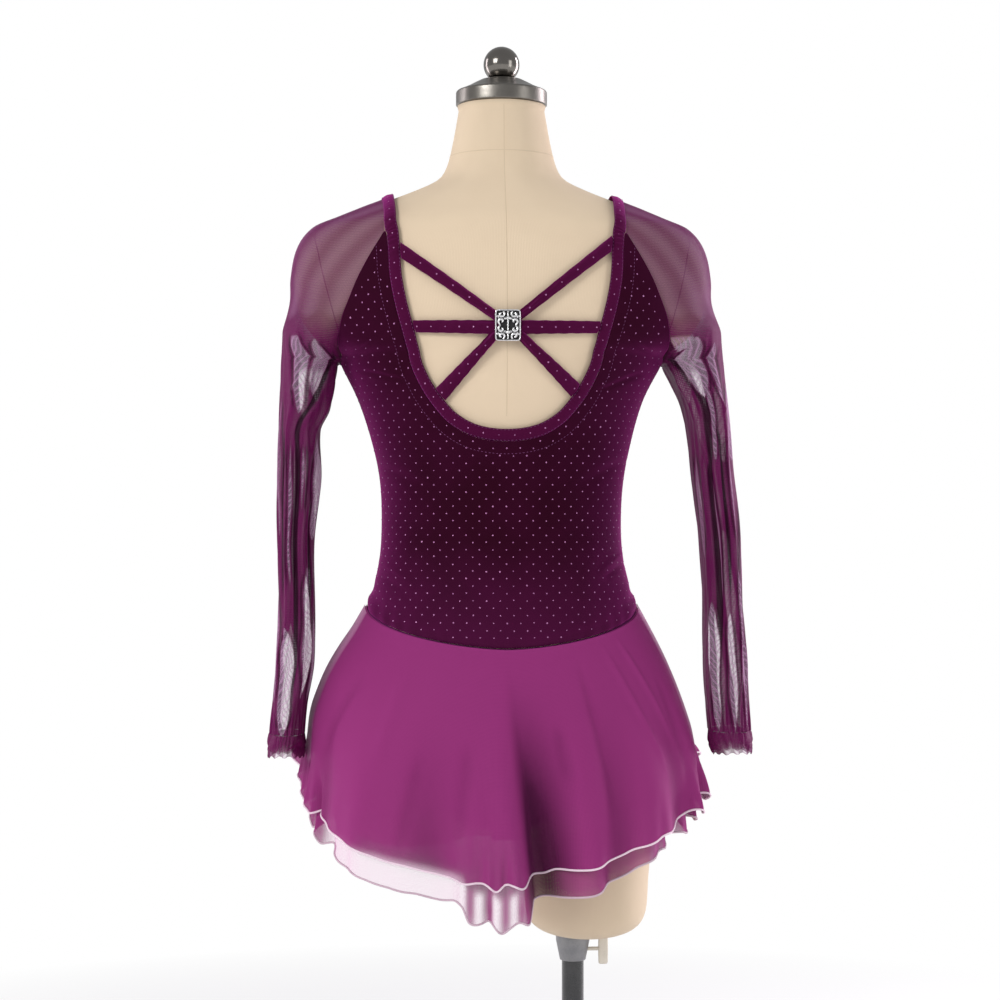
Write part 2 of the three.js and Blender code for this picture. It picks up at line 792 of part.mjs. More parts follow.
function brief() {
  const wall = new Wall();
  const crotch = CROTCH_ANGLE;
  const body = (angle, v) => {
    const z = lerp(legLine(angle), waist(angle) - SEAM_GAP, v ** ROW_CROWD);
    return onSkin({ angle, z }, BRIEF);
  };
  const stretches = [
    [crotch - Math.PI, -Math.PI / 2],
    [-Math.PI / 2, -crotch],
    [-crotch, crotch],
    [crotch, Math.PI / 2],
    [Math.PI / 2, Math.PI - crotch],
    [Math.PI - crotch, Math.PI + crotch],
  ];
  for (const [from, to] of stretches) {
    const columns = to - from > 1 ? BRIEF_COLUMNS : 2;
    wall.grid(columns, BRIEF_ROWS, (u, v) => body(lerp(from, to, u), v));
  }
  // The strip under the body from the back to the front, round the edge of the form.
  const back = onSurface(0, BRIEF_BOTTOM).y;
  const front = onSurface(Math.PI, BRIEF_BOTTOM).y;
  const lowest = BODY[0].z;
  wall.grid(2, UNDER_CELLS, (u, v) => {
    const x = lerp(-CROTCH_WIDTH, CROTCH_WIDTH, u);
    if (v === 0 || v === 1) {
      const angle = lerp(-crotch, crotch, u);
      return body(v === 1 ? angle : Math.PI - angle, 0);
    }
    const y = lerp(front, back, v);
    const under = lowest + (BRIEF_BOTTOM - lowest) * Math.abs(2 * v - 1) ** UNDER_CURVE;
    return [
      new THREE.Vector3(x, y, under - CLOTH_CLEAR),
      new THREE.Vector3(x, y * 1.01, under - CLOTH_CLEAR - BRIEF),
    ];
  });
  return wall.geometry();
}

// ---------------------------------------------------------------- form and stand
const wasm = await Module();
wasm.setup();

function solid(geometry) {
  const bare = geometry.clone();
  bare.deleteAttribute("normal");
  bare.deleteAttribute("uv");
  const merged = mergeVertices(bare, 1e-4);
  return new wasm.Manifold(
    new wasm.Mesh({
      numProp: 3,
      vertProperties: new Float32Array(merged.attributes.position.array),
      triVerts: new Uint32Array(merged.index.array),
    }),
  );
}

function geometryOf(manifold) {
  const mesh = manifold.getMesh();
  const geometry = new THREE.BufferGeometry();
  geometry.setAttribute("position", new THREE.BufferAttribute(mesh.vertProperties, 3));
  geometry.setIndex(new THREE.BufferAttribute(mesh.triVerts, 1));
  geometry.computeVertexNormals();
  return geometry;
}

// A closed solid through level rings, given as ring(height, angle) -> Vector3.
function loft(heights, around, ring) {
  const points = [];
  const faces = [];
  for (const z of heights) {
    for (let i = 0; i < around; i += 1) points.push(ring(z, (i / around) * 2 * Math.PI));
  }
  for (let j = 0; j + 1 < heights.length; j += 1) {
    for (let i = 0; i < around; i += 1) {
      const a = j * around + i;
      const b = j * around + ((i + 1) % around);
      faces.push(a, b, b + around, a, b + around, a + around);
    }
  }
  for (let i = 1; i + 1 < around; i += 1) {
    const top = (heights.length - 1) * around;
    faces.push(0, i + 1, i, top, top + i, top + i + 1);
  }
  return closedGeometry(points, faces);
}

const FORM_COLUMNS = 36;
const LONGEST_ROW = 25; // two rings of the form further apart get one between them
const END_SHRINK = new THREE.Vector3(0.98, 0.98, 1); // of the form's level ends

function thigh(rows) {
  return loft(rows.map((row) => row.z), 24, (z, angle) => {
    const row = rows.find((one) => one.z === z);
    return new THREE.Vector3(
      row.x + row.half_width * Math.sin(angle),
      -row.half_depth * Math.cos(angle),
      z,
    );
  });
}

function cylinder(radius, bottom, top, x, segments = 24) {
  const geometry = new THREE.CylinderGeometry(radius, radius, top - bottom, segments);
  geometry.rotateX(Math.PI / 2);
  geometry.translate(x, 0, (top + bottom) / 2);
  return geometry;
}

function torso() {
  const heights = BODY.flatMap((row, i) => {
    const next = BODY[i + 1];
    return next && next.z - row.z > LONGEST_ROW ? [row.z, (row.z + next.z) / 2] : [row.z];
  });
  const body = loft(heights, FORM_COLUMNS, (z, angle) => {
    const ends = z === heights[0] || z === heights.at(-1);
    const point = onSurface(angle, z);
    if (ends) return point.multiply(END_SHRINK);
    return point.addScaledVector(surfaceNormal(angle, z), -FORM_INSET);
  });
  const bore = cylinder(POLE_RADIUS + POLE_CLEAR, STUMP_BOTTOM - 5, BORE_TOP, POLE_X);
  return geometryOf(
    solid(body).add(solid(thigh(THIGH_RIGHT))).add(solid(thigh(THIGH_LEFT))).subtract(solid(bore)),
  );
}

// A turned piece: its profile is a list of (radius, height) from the axis out and back to it.
function turned(profile, segments = 36) {
  const geometry = new THREE.LatheGeometry(
    profile.map(([radius, height]) => new THREE.Vector2(radius, height)),
    segments,
  );
  geometry.rotateX(Math.PI / 2);
  return geometry;
}

const NECK_TOP = BODY.at(-1).z;
const CAP_TOP = 1222;
const FINIAL_RADIUS = 18;
const FINIAL_MIDDLE = 1235;
const COLLAR = { top: STUMP_BOTTOM - SEAM_GAP, bottom: 340, top_radius: 17, low_radius: 13 };
const SCREW = { z: 350.4, radius: 2, hole: 2.4, wing_from: 97, wing: [10, 5, 31], sunk: 2 };

function neckCap() {
  return turned([
    [0, NECK_TOP + SEAM_GAP],
    [45.5, NECK_TOP + SEAM_GAP],
    [45.5, NECK_TOP + 15],
    [42.5, NECK_TOP + 18],
    [24.5, CAP_TOP - 2.4],
    [9, CAP_TOP - 0.6],
    [0, CAP_TOP - 0.6],
  ]);
}

function finial() {
  const middle = FINIAL_MIDDLE - CAP_TOP;
  const start = Math.asin(middle / FINIAL_RADIUS);
  const profile = [[0, 0]];
  const steps = 8;
  for (let i = 0; i <= steps; i += 1) {
    const angle = lerp(-start, Math.PI / 2, i / steps);
    const radius = i === steps ? 0 : FINIAL_RADIUS * Math.cos(angle);
    profile.push([radius, middle + FINIAL_RADIUS * Math.sin(angle)]);
  }
  return turned(profile, 24);
}

function collar() {
  const bore = POLE_RADIUS + POLE_CLEAR;
  const ring = turned([
    [bore, COLLAR.bottom],
    [COLLAR.low_radius, COLLAR.bottom],
    [COLLAR.low_radius + 2, SCREW.z],
    [COLLAR.top_radius, COLLAR.top - 8],
    [COLLAR.top_radius, COLLAR.top],
    [bore, COLLAR.top],
    [bore, COLLAR.bottom],
  ], 32);
  ring.translate(POLE_X, 0, 0);
  const hole = new THREE.CylinderGeometry(SCREW.hole, SCREW.hole, 20, 20);
  hole.rotateZ(Math.PI / 2);
  hole.translate(POLE_X + 10 + bore - 4, 0, SCREW.z);
  return geometryOf(solid(ring).subtract(solid(hole)));
}

function clampScrew() {
  const tip = POLE_X + POLE_RADIUS + POLE_CLEAR;
  const stemEnd = SCREW.wing_from + SCREW.sunk;
  const stem = new THREE.CylinderGeometry(SCREW.radius, SCREW.radius, stemEnd - tip, 16);
  stem.rotateZ(Math.PI / 2);
  stem.translate((tip + stemEnd) / 2, 0, SCREW.z);
  const [thick, wide, high] = SCREW.wing;
  const outline = roundedRectangle(wide, high, 2.3);
  const wing = new THREE.ExtrudeGeometry(outline, {
    depth: thick,
    bevelEnabled: false,
    curveSegments: 4,
  });
  wing.rotateX(Math.PI / 2);
  wing.rotateZ(Math.PI / 2);
  wing.translate(SCREW.wing_from, 0, SCREW.z);
  return geometryOf(solid(stem).add(solid(wing)));
}

function basePlate() {
  const plate = turned([
    [0, 0],
    [BASE_RADIUS, 0],
    [BASE_RADIUS, BASE_THICK - 3],
    [BASE_RADIUS - 3, BASE_THICK],
    [26, BASE_THICK + 1],
    [18, BASE_THICK + 14],
    [0, BASE_THICK + 14],
  ], 48);
  plate.translate(POLE_X, 0, 0);
  const socket = cylinder(POLE_RADIUS + SEAM_GAP, BASE_THICK, BASE_THICK + 30, POLE_X);
  return geometryOf(solid(plate).subtract(solid(socket)));
}

// ---------------------------------------------------------------- materials and scene
function finish(color, roughness, metalness = 0) {
  return new THREE.MeshStandardMaterial({ color, roughness, metalness, side: THREE.FrontSide });
}
const velvet = () => finish(0x3a0a30, 0.75);
const mesh_cloth = () => finish(0x5a1f50, 0.8);
const chiffon = () => finish(0x923476, 0.7);
const thread = () => finish(0xe6c3d4, 0.6);
const linen = () => finish(0xe2cdb2, 0.9);
const steel = () => finish(0xb9b9bb, 0.25, 1);
const silver = () => finish(0xc9c9cc, 0.3, 1);
const black = () => finish(0x101012, 0.35);

const part = new THREE.Group();

function add(name, geometry, material, parent = part) {
  const mesh = new THREE.Mesh(geometry, material);
  mesh.name = name;
  parent.add(mesh);
  return mesh;
}

add("base_plate", basePlate(), black());
add("pole", cylinder(POLE_RADIUS, BASE_THICK + SEAM_GAP, POLE_TOP, POLE_X), black());
add("form_torso", torso(), linen());
add("neck_cap", neckCap(), steel());
add("finial", finial(), steel()).position.set(0, 0, CAP_TOP);
add("pole_collar", collar(), finish(0x6f6f72, 0.5, 0.6));
add("clamp_screw", clampScrew(), finish(0xe9e3d6, 0.5));

const dress = new THREE.Group();
part.add(dress);
add("bodice_back", bodicePanel("back"), velvet(), dress);
add("bodice_front", bodicePanel("front"), velvet(), dress);
add("neckline_binding", necklineBinding(), velvet(), dress);
for (const row of STRAPS) add(row.name, strap(row), velvet(), dress);
const bead_back = onSurface(0, BEAD.middle).y - BEAD.out - BEAD.depth / 2;
add("strap_bead", bead(), silver(), dress).position.set(0, bead_back, BEAD.middle);
add("sleeve_right", sleeve(SLEEVE_RIGHT, 1), mesh_cloth(), dress);
add("sleeve_left", sleeve(SLEEVE_LEFT, -1), mesh_cloth(), dress);
add("cuff_right", cuff(SLEEVE_RIGHT, 1), mesh_cloth(), dress);
add("cuff_left", cuff(SLEEVE_LEFT, -1), mesh_cloth(), dress);
add("skirt_over", skirt("over"), chiffon(), dress);
add("skirt_under", skirt("under"), chiffon(), dress);
add("hem_over", skirtHem("over"), thread(), dress);
add("hem_under", skirtHem("under"), thread(), dress);
add("brief", brief(), velvet(), dress);

export default part;
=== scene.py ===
# %% [markdown]
# # A figure skating dress on a dress form
# The dress is stretch velvet and sheer mesh with two short layers of chiffon. It hangs on a
# linen form without limbs, on a pole stand. Everything is in the frame of the CAD model: metres,
# +Z up, -Y is the back of the dress and +X the wearer's right.

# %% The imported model
import math

import bmesh
import bpy
import numpy as np
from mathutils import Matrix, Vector


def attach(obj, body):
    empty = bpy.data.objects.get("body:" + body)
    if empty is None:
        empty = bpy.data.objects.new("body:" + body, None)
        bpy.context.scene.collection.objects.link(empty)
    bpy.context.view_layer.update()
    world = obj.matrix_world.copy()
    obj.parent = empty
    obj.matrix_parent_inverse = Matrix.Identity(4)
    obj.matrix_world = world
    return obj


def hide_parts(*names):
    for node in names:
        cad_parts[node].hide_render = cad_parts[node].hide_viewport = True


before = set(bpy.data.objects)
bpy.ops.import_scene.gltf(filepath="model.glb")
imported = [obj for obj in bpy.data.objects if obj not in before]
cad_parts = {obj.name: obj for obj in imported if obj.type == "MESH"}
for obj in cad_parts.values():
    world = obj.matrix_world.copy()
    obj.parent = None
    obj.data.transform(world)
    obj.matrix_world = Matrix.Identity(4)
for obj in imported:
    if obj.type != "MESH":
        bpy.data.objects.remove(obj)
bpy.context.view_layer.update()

MM = 0.001
random = np.random.default_rng(7)

# %% [markdown]
# ## Camera, light and floor
# A dress is shown best by large soft lights. The world looks white to the camera but lights the
# cloth only gently, so that the folds keep their shade. Two tall lights behind the dress catch the
# pile of the velvet along both sides.

# %% Camera
AIM = Vector((-0.0015, 0, 0.8))
DISTANCE = 2.1
AZIMUTH = math.radians(-3.2)
# Half the width that the camera sees at that distance, and its sensor's width in millimetres.
HALF_VIEW, SENSOR = 0.5, 36
camera_data = bpy.data.cameras.new("camera")
camera_data.sensor_width = SENSOR
camera_data.lens = SENSOR / 2 * DISTANCE / HALF_VIEW
camera = bpy.data.objects.new("camera", camera_data)
camera.location = AIM + DISTANCE * Vector((math.sin(AZIMUTH), -math.cos(AZIMUTH), 0))
camera.rotation_euler = (math.pi / 2, 0, AZIMUTH)
bpy.context.collection.objects.link(camera)
bpy.context.scene.camera = camera
bpy.context.scene.view_settings.view_transform = "Standard"


# %% Soft lights
MIDDLE_OF_DRESS = Vector((0, 0, 0.8))


def soft_light(name, place, size, watts, colour=(1, 1, 1)):
    """A rectangular area light at `place`, turned towards the middle of the dress."""
    data = bpy.data.lights.new(name, "AREA")
    data.shape = "RECTANGLE"
    data.size, data.size_y = size
    data.energy = watts
    data.color = colour
    lamp = bpy.data.objects.new(name, data)
    lamp.location = place
    look = MIDDLE_OF_DRESS - lamp.location
    lamp.rotation_euler = look.to_track_quat("-Z", "Y").to_euler()
    bpy.context.collection.objects.link(lamp)


soft_light("key", (-2.3, -2.4, 2.3), (1.3, 1.3), 62)
soft_light("fill", (2.6, -1.8, 1.3), (1.0, 2.0), 16)
soft_light("rim_right", (1.7, 0.9, 1.2), (0.5, 2.0), 34, (1, 0.92, 1))
soft_light("rim_left", (-1.9, 0.9, 1.2), (0.5, 2.0), 16, (1, 0.94, 1))

# %% The world
world = bpy.data.worlds.new("studio")
bpy.context.scene.world = world
world.use_nodes = True
sky = world.node_tree
sky.nodes.clear()
seen = sky.nodes.new("ShaderNodeBackground")
seen.inputs["Color"].default_value = (1, 1, 1, 1)
glow = sky.nodes.new("ShaderNodeBackground")
glow.inputs["Color"].default_value = (0.97, 0.98, 1, 1)
glow.inputs["Strength"].default_value = 0.5
eye = sky.nodes.new("ShaderNodeLightPath")
pick = sky.nodes.new("ShaderNodeMixShader")
out = sky.nodes.new("ShaderNodeOutputWorld")
sky.links.new(eye.outputs["Is Camera Ray"], pick.inputs[0])
sky.links.new(glow.outputs[0], pick.inputs[1])
sky.links.new(seen.outputs[0], pick.inputs[2])
sky.links.new(pick.outputs[0], out.inputs[0])


# %% [markdown]
# ## Tables and the fitting surface
# A pattern cutter works from a table of girths. Here a row gives half the width and the depths of
# the body at one height, in millimetres, and a smooth cubic runs through the rows. Cloth and form
# are both laid from this one surface, so they can't cut into each other.

# %% Tables
def table(columns, rows):
    """Named columns, as arrays, from a list of rows."""
    return dict(zip(columns.split(), np.array(rows, float).T))


def read(rows, key, column, place):
    """A cubic through the rows: at each one it has the slope between its two neighbours."""
    keys, values = rows[key], rows[column]
    slope = np.gradient(values, keys)
    slope[1:-1] = (values[2:] - values[:-2]) / (keys[2:] - keys[:-2])
    place = np.clip(place, keys[0], keys[-1])
    i = np.clip(np.searchsorted(keys, place, side="right") - 1, 0, len(keys) - 2)
    width = keys[i + 1] - keys[i]
    rise = values[i + 1] - values[i]
    t = (place - keys[i]) / width
    bend = (1 - t) * (slope[i] * width - rise) + t * (rise - slope[i + 1] * width)
    return values[i] + t * rise + t * (1 - t) * bend


def lerp(a, b, t):
    """The share t of the way from a to b."""
    return a + (b - a) * t


def join(*parts):
    """Coordinates as one array: the parts are spread to one shape and stacked last."""
    return np.stack(np.broadcast_arrays(*parts), -1)


def smooth(value, low, high):
    """0 below low, 1 above high, and an S curve 3t^2 - 2t^3 between them."""
    t = np.clip((value - low) / (high - low), 0, 1)
    return t * t * (3 - 2 * t)


BODY = table("z side back front", [
    [474, 106, 62, 56], [478, 134, 84, 76], [486, 149, 96, 87], [500, 159, 104, 94],
    [540, 165, 112, 98], [580, 163, 115, 100], [620, 155, 112, 100], [660, 142, 103, 98],
    [700, 130, 92, 95], [740, 120, 83, 92], [780, 117, 80, 93], [820, 119, 82, 99],
    [860, 127.5, 88, 109], [900, 140, 95, 119], [930, 155, 98, 121], [943, 163, 99, 119],
    [952, 179, 100, 117], [961, 190, 100, 114], [980, 203, 100, 107], [1000, 208, 99, 99],
    [1020, 209, 96, 90], [1050, 203, 90, 80], [1070, 187, 84, 71], [1080, 163, 80, 66],
    [1090, 138, 74, 60], [1100, 114, 68, 55], [1110, 88, 62, 51], [1120, 67, 57, 50],
    [1130, 59, 54, 50], [1150, 53, 50, 49], [1193, 45, 45, 45],
])
# The form lies this far inside the surface, and cloth this far outside it. The velvet's wall
# comes on top. Panels are this far apart at a seam, in mm and as an angle at the body's mean
# radius of 150 mm.
FORM_INSET = 3.0
CLOTH_CLEAR = 0.5
VELVET = 2.0
SEAM_GAP = 0.3
SEAM_TURN = SEAM_GAP / 150


# %% The fitting surface
def on_surface(angle, z):
    """Half an ellipse behind and half one in front, at each height. Angle 0 is the middle of the
    back and 90 degrees the wearer's right side."""
    angle, z = np.broadcast_arrays(angle, z)
    depth = np.where(np.cos(angle) > 0, read(BODY, "z", "back", z), read(BODY, "z", "front", z))
    side = read(BODY, "z", "side", z)
    return np.stack([side * np.sin(angle), -depth * np.cos(angle), z], -1)


def unit(vectors):
    """The same directions, one long."""
    return vectors / np.maximum(np.linalg.norm(vectors, axis=-1, keepdims=True), 1e-9)


def surface_normal(angle, z):
    """Across the surface times up the surface, both by small differences."""
    across = on_surface(angle + 0.02, z) - on_surface(angle - 0.02, z)
    up = on_surface(angle, z + 1) - on_surface(angle, z - 1)
    return unit(np.cross(across, up))


def skin(angle, z, out):
    """Points that lie `out` outside the fitting surface."""
    return on_surface(angle, z) + surface_normal(angle, z) * np.asarray(out)[..., None]


def place_at(x, z, face):
    """The angle of a point at x, on the back or the front."""
    angle = np.arcsin(np.minimum(1, x / read(BODY, "z", "side", z)))
    return (angle if face == "back" else math.pi - angle), z


def place_under(points):
    """The angle and height on the surface in the direction of free points."""
    x, y, z = np.moveaxis(points, -1, 0)
    depth = np.where(y < 0, read(BODY, "z", "back", z), read(BODY, "z", "front", z))
    return np.arctan2(x / read(BODY, "z", "side", z), -y / depth), z


# The waist seam's height at the sides, and how far it dips at the back and at the front.
WAIST_SIDE, WAIST_DIP_BACK, WAIST_DIP_FRONT = 697, 39, 25


def waist(angle):
    """The waist seam dips to the middle of the back, and less to the middle of the front."""
    cos = np.cos(angle)
    dip = np.where(cos > 0, WAIST_DIP_BACK, WAIST_DIP_FRONT)
    return WAIST_SIDE - dip + dip * (1 - np.abs(cos)) ** 0.8


# %% [markdown]
# ## Meshes from grids
# Each piece is a function of two parameters, worked out for a whole grid at once. The grid's first
# direction goes up and its second one to the right as seen from outside, which makes the faces
# look outwards. Every grid carries a UV map in metres of cloth, so that one weave fits them all.

# %% Grids to objects
def quads_of(rows, columns):
    """Four corners for each cell of a grid, anticlockwise."""
    index = np.arange(rows * columns).reshape(rows, columns)
    corners = [index[:-1, :-1], index[:-1, 1:], index[1:, 1:], index[1:, :-1]]
    return np.stack(corners, -1).reshape(-1, 4)


def make_piece(name, grids, weld=0.02):
    """One object from grids of (points in mm, uv in metres, values, painted shade). Points nearer
    to each other than `weld` are made one."""
    points, uvs, values, shades, faces, count = [], [], [], [], [], 0
    for grid in grids:
        rows, columns = grid[0].shape[:2]
        points.append(grid[0].reshape(-1, 3))
        uvs.append(grid[1].reshape(-1, 2))
        given = grid[2] if len(grid) > 2 else np.ones((rows, columns))
        values.append(np.broadcast_to(given, (rows, columns)).reshape(-1))
        # The fourth array of a grid is painted shade, kept as the `shade` value.
        dark = grid[3] if len(grid) > 3 else np.zeros((rows, columns))
        shades.append(np.broadcast_to(dark, (rows, columns)).reshape(-1))
        faces.append(quads_of(rows, columns) + count)
        count += rows * columns
    points, uvs, faces = map(np.concatenate, (points, uvs, faces))
    kept = {"value": np.concatenate(values), "shade": np.concatenate(shades)}
    return mesh_object(name, points, faces, uvs, kept, weld)


def mesh_object(name, points, faces, uvs, values, weld=0.02, smooth_shade=True):
    """A linked object from arrays: points in mm, faces of equal size, UV and named values."""
    mesh = bpy.data.meshes.new(name)
    mesh.vertices.add(len(points))
    mesh.vertices.foreach_set("co", (points * MM).astype(np.float32).ravel())
    mesh.loops.add(faces.size)
    mesh.loops.foreach_set("vertex_index", faces.ravel().astype(np.int32))
    mesh.polygons.add(len(faces))
    starts = np.arange(len(faces), dtype=np.int32) * faces.shape[1]
    mesh.polygons.foreach_set("loop_start", starts)
    mesh.uv_layers.new(name="UVMap").data.foreach_set("uv", uvs[faces.ravel()].ravel())
    for label, numbers in values.items():
        numbers = np.ascontiguousarray(numbers, dtype=np.float32)
        mesh.attributes.new(label, "FLOAT", "POINT").data.foreach_set("value", numbers)
    mesh.update(calc_edges=True)
    if weld:
        shape = bmesh.new()
        shape.from_mesh(mesh)
        bmesh.ops.remove_doubles(shape, verts=shape.verts, dist=weld * MM)
        shape.to_mesh(mesh)
        shape.free()
    mesh.validate()
    if smooth_shade:
        mesh.polygons.foreach_set("use_smooth", np.ones(len(mesh.polygons), bool))
    piece = bpy.data.objects.new(name, mesh)
    bpy.context.collection.objects.link(piece)
    return piece


def bake(piece):
    """Applies the piece's modifiers."""
    graph = bpy.context.evaluated_depsgraph_get()
    mesh = bpy.data.meshes.new_from_object(piece.evaluated_get(graph))
    piece.modifiers.clear()
    piece.data = mesh


def area_of(grids):
    """Square metres of cloth in the grids."""
    total = 0
    for grid in grids:
        p = grid[0]
        diagonals = np.cross(p[1:, 1:] - p[:-1, :-1], p[1:, :-1] - p[:-1, 1:])
        total += np.linalg.norm(diagonals, axis=-1).sum() / 2
    return float(total) * MM * MM


def thicken(piece, millimetres):
    """A wall of cloth that grows inwards from its outer face."""
    wall = piece.modifiers.new("wall", "SOLIDIFY")
    wall.thickness = millimetres * MM
    wall.offset = -1
    wall.use_even_offset = False
    bake(piece)


def finish_piece(piece, material, slot, body, *nodes):
    """Gives a piece its material, its body and the CAD nodes that it stands for."""
    piece.data.materials.clear()
    piece.data.materials.append(material)
    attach(piece, body)
    if nodes:
        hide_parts(*nodes)
    print(piece.name, len(piece.data.polygons), "faces")


def mirrored(points, hand):
    """The grid for a hand: 1 is the right one, -1 the left, with its columns turned round."""
    return points if hand > 0 else points[:, ::-1]


# %% [markdown]
# ## Creases
# Cloth creases where it is pulled or pushed. Each crease is one row of a table: the line it runs
# along, its width and its depth. A trough has a negative depth. Rows are uneven on purpose.

# %% Creases
def creases(across, up, rows):
    """The sum of soft ridges. Each follows a straight line from (a0, b0) to (a1, b1), and its
    height is depth * exp(-(distance / width)^2), fading at both ends of the line."""
    total = np.zeros(np.broadcast(across, up).shape)
    for a0, b0, a1, b1, width, depth in rows:
        t = (up - b0) / (b1 - b0)
        middle = lerp(a0, a1, np.clip(t, 0, 1))
        fade = smooth(t, -0.12, 0.25) * (1 - smooth(t, 0.7, 1.12))
        total = total + depth * fade * np.exp(-(((across - middle) / width) ** 2))
    return total


# %% [markdown]
# ## Shader helpers
# Materials are node trees. Writing each one node by node is long, so a small helper adds a node,
# sets its plain values and links the rest. An effect that several cloths share is a node group.

# %% Node helper
class Tree:
    """Adds nodes to one node tree. A value that is a socket is linked, and others are set."""

    def __init__(self, tree):
        self.tree = tree

    def add(self, kind, settings=None, **inputs):
        """One node, with its settings and with its inputs by name (spaces as underscores)."""
        node = self.tree.nodes.new(kind)
        for key, value in (settings or {}).items():
            setattr(node, key, value)
        return self.fill(node, **inputs)

    def fill(self, node, **inputs):
        """Sets or links a node's inputs by name."""
        for key, value in inputs.items():
            self.put(node.inputs[key.replace("_", " ")], value)
        return node

    def put(self, socket, value):
        """Links a socket to an input, or sets the input's own value."""
        if isinstance(value, bpy.types.NodeSocket):
            self.tree.links.new(value, socket)
        else:
            socket.default_value = value

    def math(self, operation, *values):
        """A Math node's output."""
        node = self.add("ShaderNodeMath", {"operation": operation})
        for socket, value in zip(node.inputs, values):
            self.put(socket, value)
        return node.outputs[0]

    def spread(self, value, low, high, to_low=0.0, to_high=1.0):
        """A value taken from one range to another, clamped."""
        node = self.add("ShaderNodeMapRange", Value=value)
        for socket, number in zip(list(node.inputs)[1:5], (low, high, to_low, to_high)):
            self.put(socket, number)
        return node.outputs[0]

    def mix(self, share, a, b):
        """A blend of two colours."""
        node = self.add("ShaderNodeMix", {"data_type": "RGBA"})
        self.put(node.inputs[0], share)
        self.put(node.inputs[6], a)
        self.put(node.inputs[7], b)
        return node.outputs[2]

    def noise(self, vector, scale, detail=2.0):
        """A noise value from 0 to 1."""
        node = self.add("ShaderNodeTexNoise", Vector=vector, Scale=scale, Detail=detail)
        return node.outputs["Fac"]


def new_group(name, inputs, outputs):
    """A node group with named float or vector inputs and float outputs."""
    group = bpy.data.node_groups.new(name, "ShaderNodeTree")
    for label, kind in inputs:
        group.interface.new_socket(label, in_out="INPUT", socket_type=kind)
    for label in outputs:
        group.interface.new_socket(label, in_out="OUTPUT", socket_type="NodeSocketFloat")
    tree = Tree(group)
    return group, tree, tree.add("NodeGroupInput").outputs, tree.add("NodeGroupOutput").inputs


def new_material(name):
    """A material with a Principled BSDF, its tree and that node."""
    material = bpy.data.materials.new(name)
    material.use_nodes = True
    tree = Tree(material.node_tree)
    return material, tree, material.node_tree.nodes["Principled BSDF"]


# %% Weave group
FLOAT, VECTOR = "NodeSocketFloat", "NodeSocketVector"
weave_group, g, given, result = new_group(
    "weave", [("Vector", VECTOR), ("Pitch", FLOAT), ("Slub", FLOAT)], ["Thread", "Tone"]
)
# Two sets of threads cross: each is a wave along one direction of the cloth.
parts = g.add("ShaderNodeSeparateXYZ", Vector=given["Vector"]).outputs
turn = g.math("DIVIDE", 2 * math.pi, given["Pitch"])
wobble = g.math("MULTIPLY", g.noise(given["Vector"], 60.0), given["Slub"])
warp = g.math("SINE", g.math("ADD", g.math("MULTIPLY", parts[0], turn), wobble))
weft = g.math("SINE", g.math("ADD", g.math("MULTIPLY", parts[1], turn), wobble))
g.put(result["Thread"], g.spread(g.math("MAXIMUM", warp, weft), -0.4, 1.0))
g.put(result["Tone"], g.noise(given["Vector"], 22.0, 3.0))


# %% Sheer group
sheer_group, g, given, result = new_group(
    "sheer", [("Facing", FLOAT), ("Clear", FLOAT), ("Thread", FLOAT)], ["Alpha"]
)
# Light crosses more thread where the cloth turns away: what passes is clear ^ (1 / cosine).
cosine = g.math("MAXIMUM", g.math("SUBTRACT", 1.0, given["Facing"]), 0.28)
passed = g.math("POWER", given["Clear"], g.math("DIVIDE", 1.0, cosine))
thread_share = g.spread(given["Thread"], 0.0, 1.0, 0.86, 1.1)
g.put(result["Alpha"], g.math("MULTIPLY", g.math("SUBTRACT", 1.0, passed), thread_share))


# %% Wear group
wear_group, g, given, result = new_group(
    "wear", [("Vector", VECTOR), ("Scale", FLOAT), ("Amount", FLOAT)], ["Mask", "Height"]
)
# Handling leaves cloudy marks with finer scratches in them.
cloud = g.noise(given["Vector"], given["Scale"], 4.0)
fine = g.noise(given["Vector"], g.math("MULTIPLY", given["Scale"], 9.0), 2.0)
blotch = g.spread(g.math("ADD", cloud, g.math("MULTIPLY", fine, 0.5)), 0.6, 1.0)
g.put(result["Mask"], g.math("MULTIPLY", blotch, given["Amount"]))
g.put(result["Height"], fine)


def use_group(tree, group, **inputs):
    """Places a group in a material and returns its outputs."""
    node = tree.add("ShaderNodeGroup", {"node_tree": group})
    for key, value in inputs.items():
        tree.put(node.inputs[key], value)
    return node.outputs


def bump(tree, height, distance, strength=1.0):
    """A normal from a height, `distance` metres high."""
    node = tree.add("ShaderNodeBump", Strength=strength, Distance=distance, Height=height)
    return node.outputs[0]
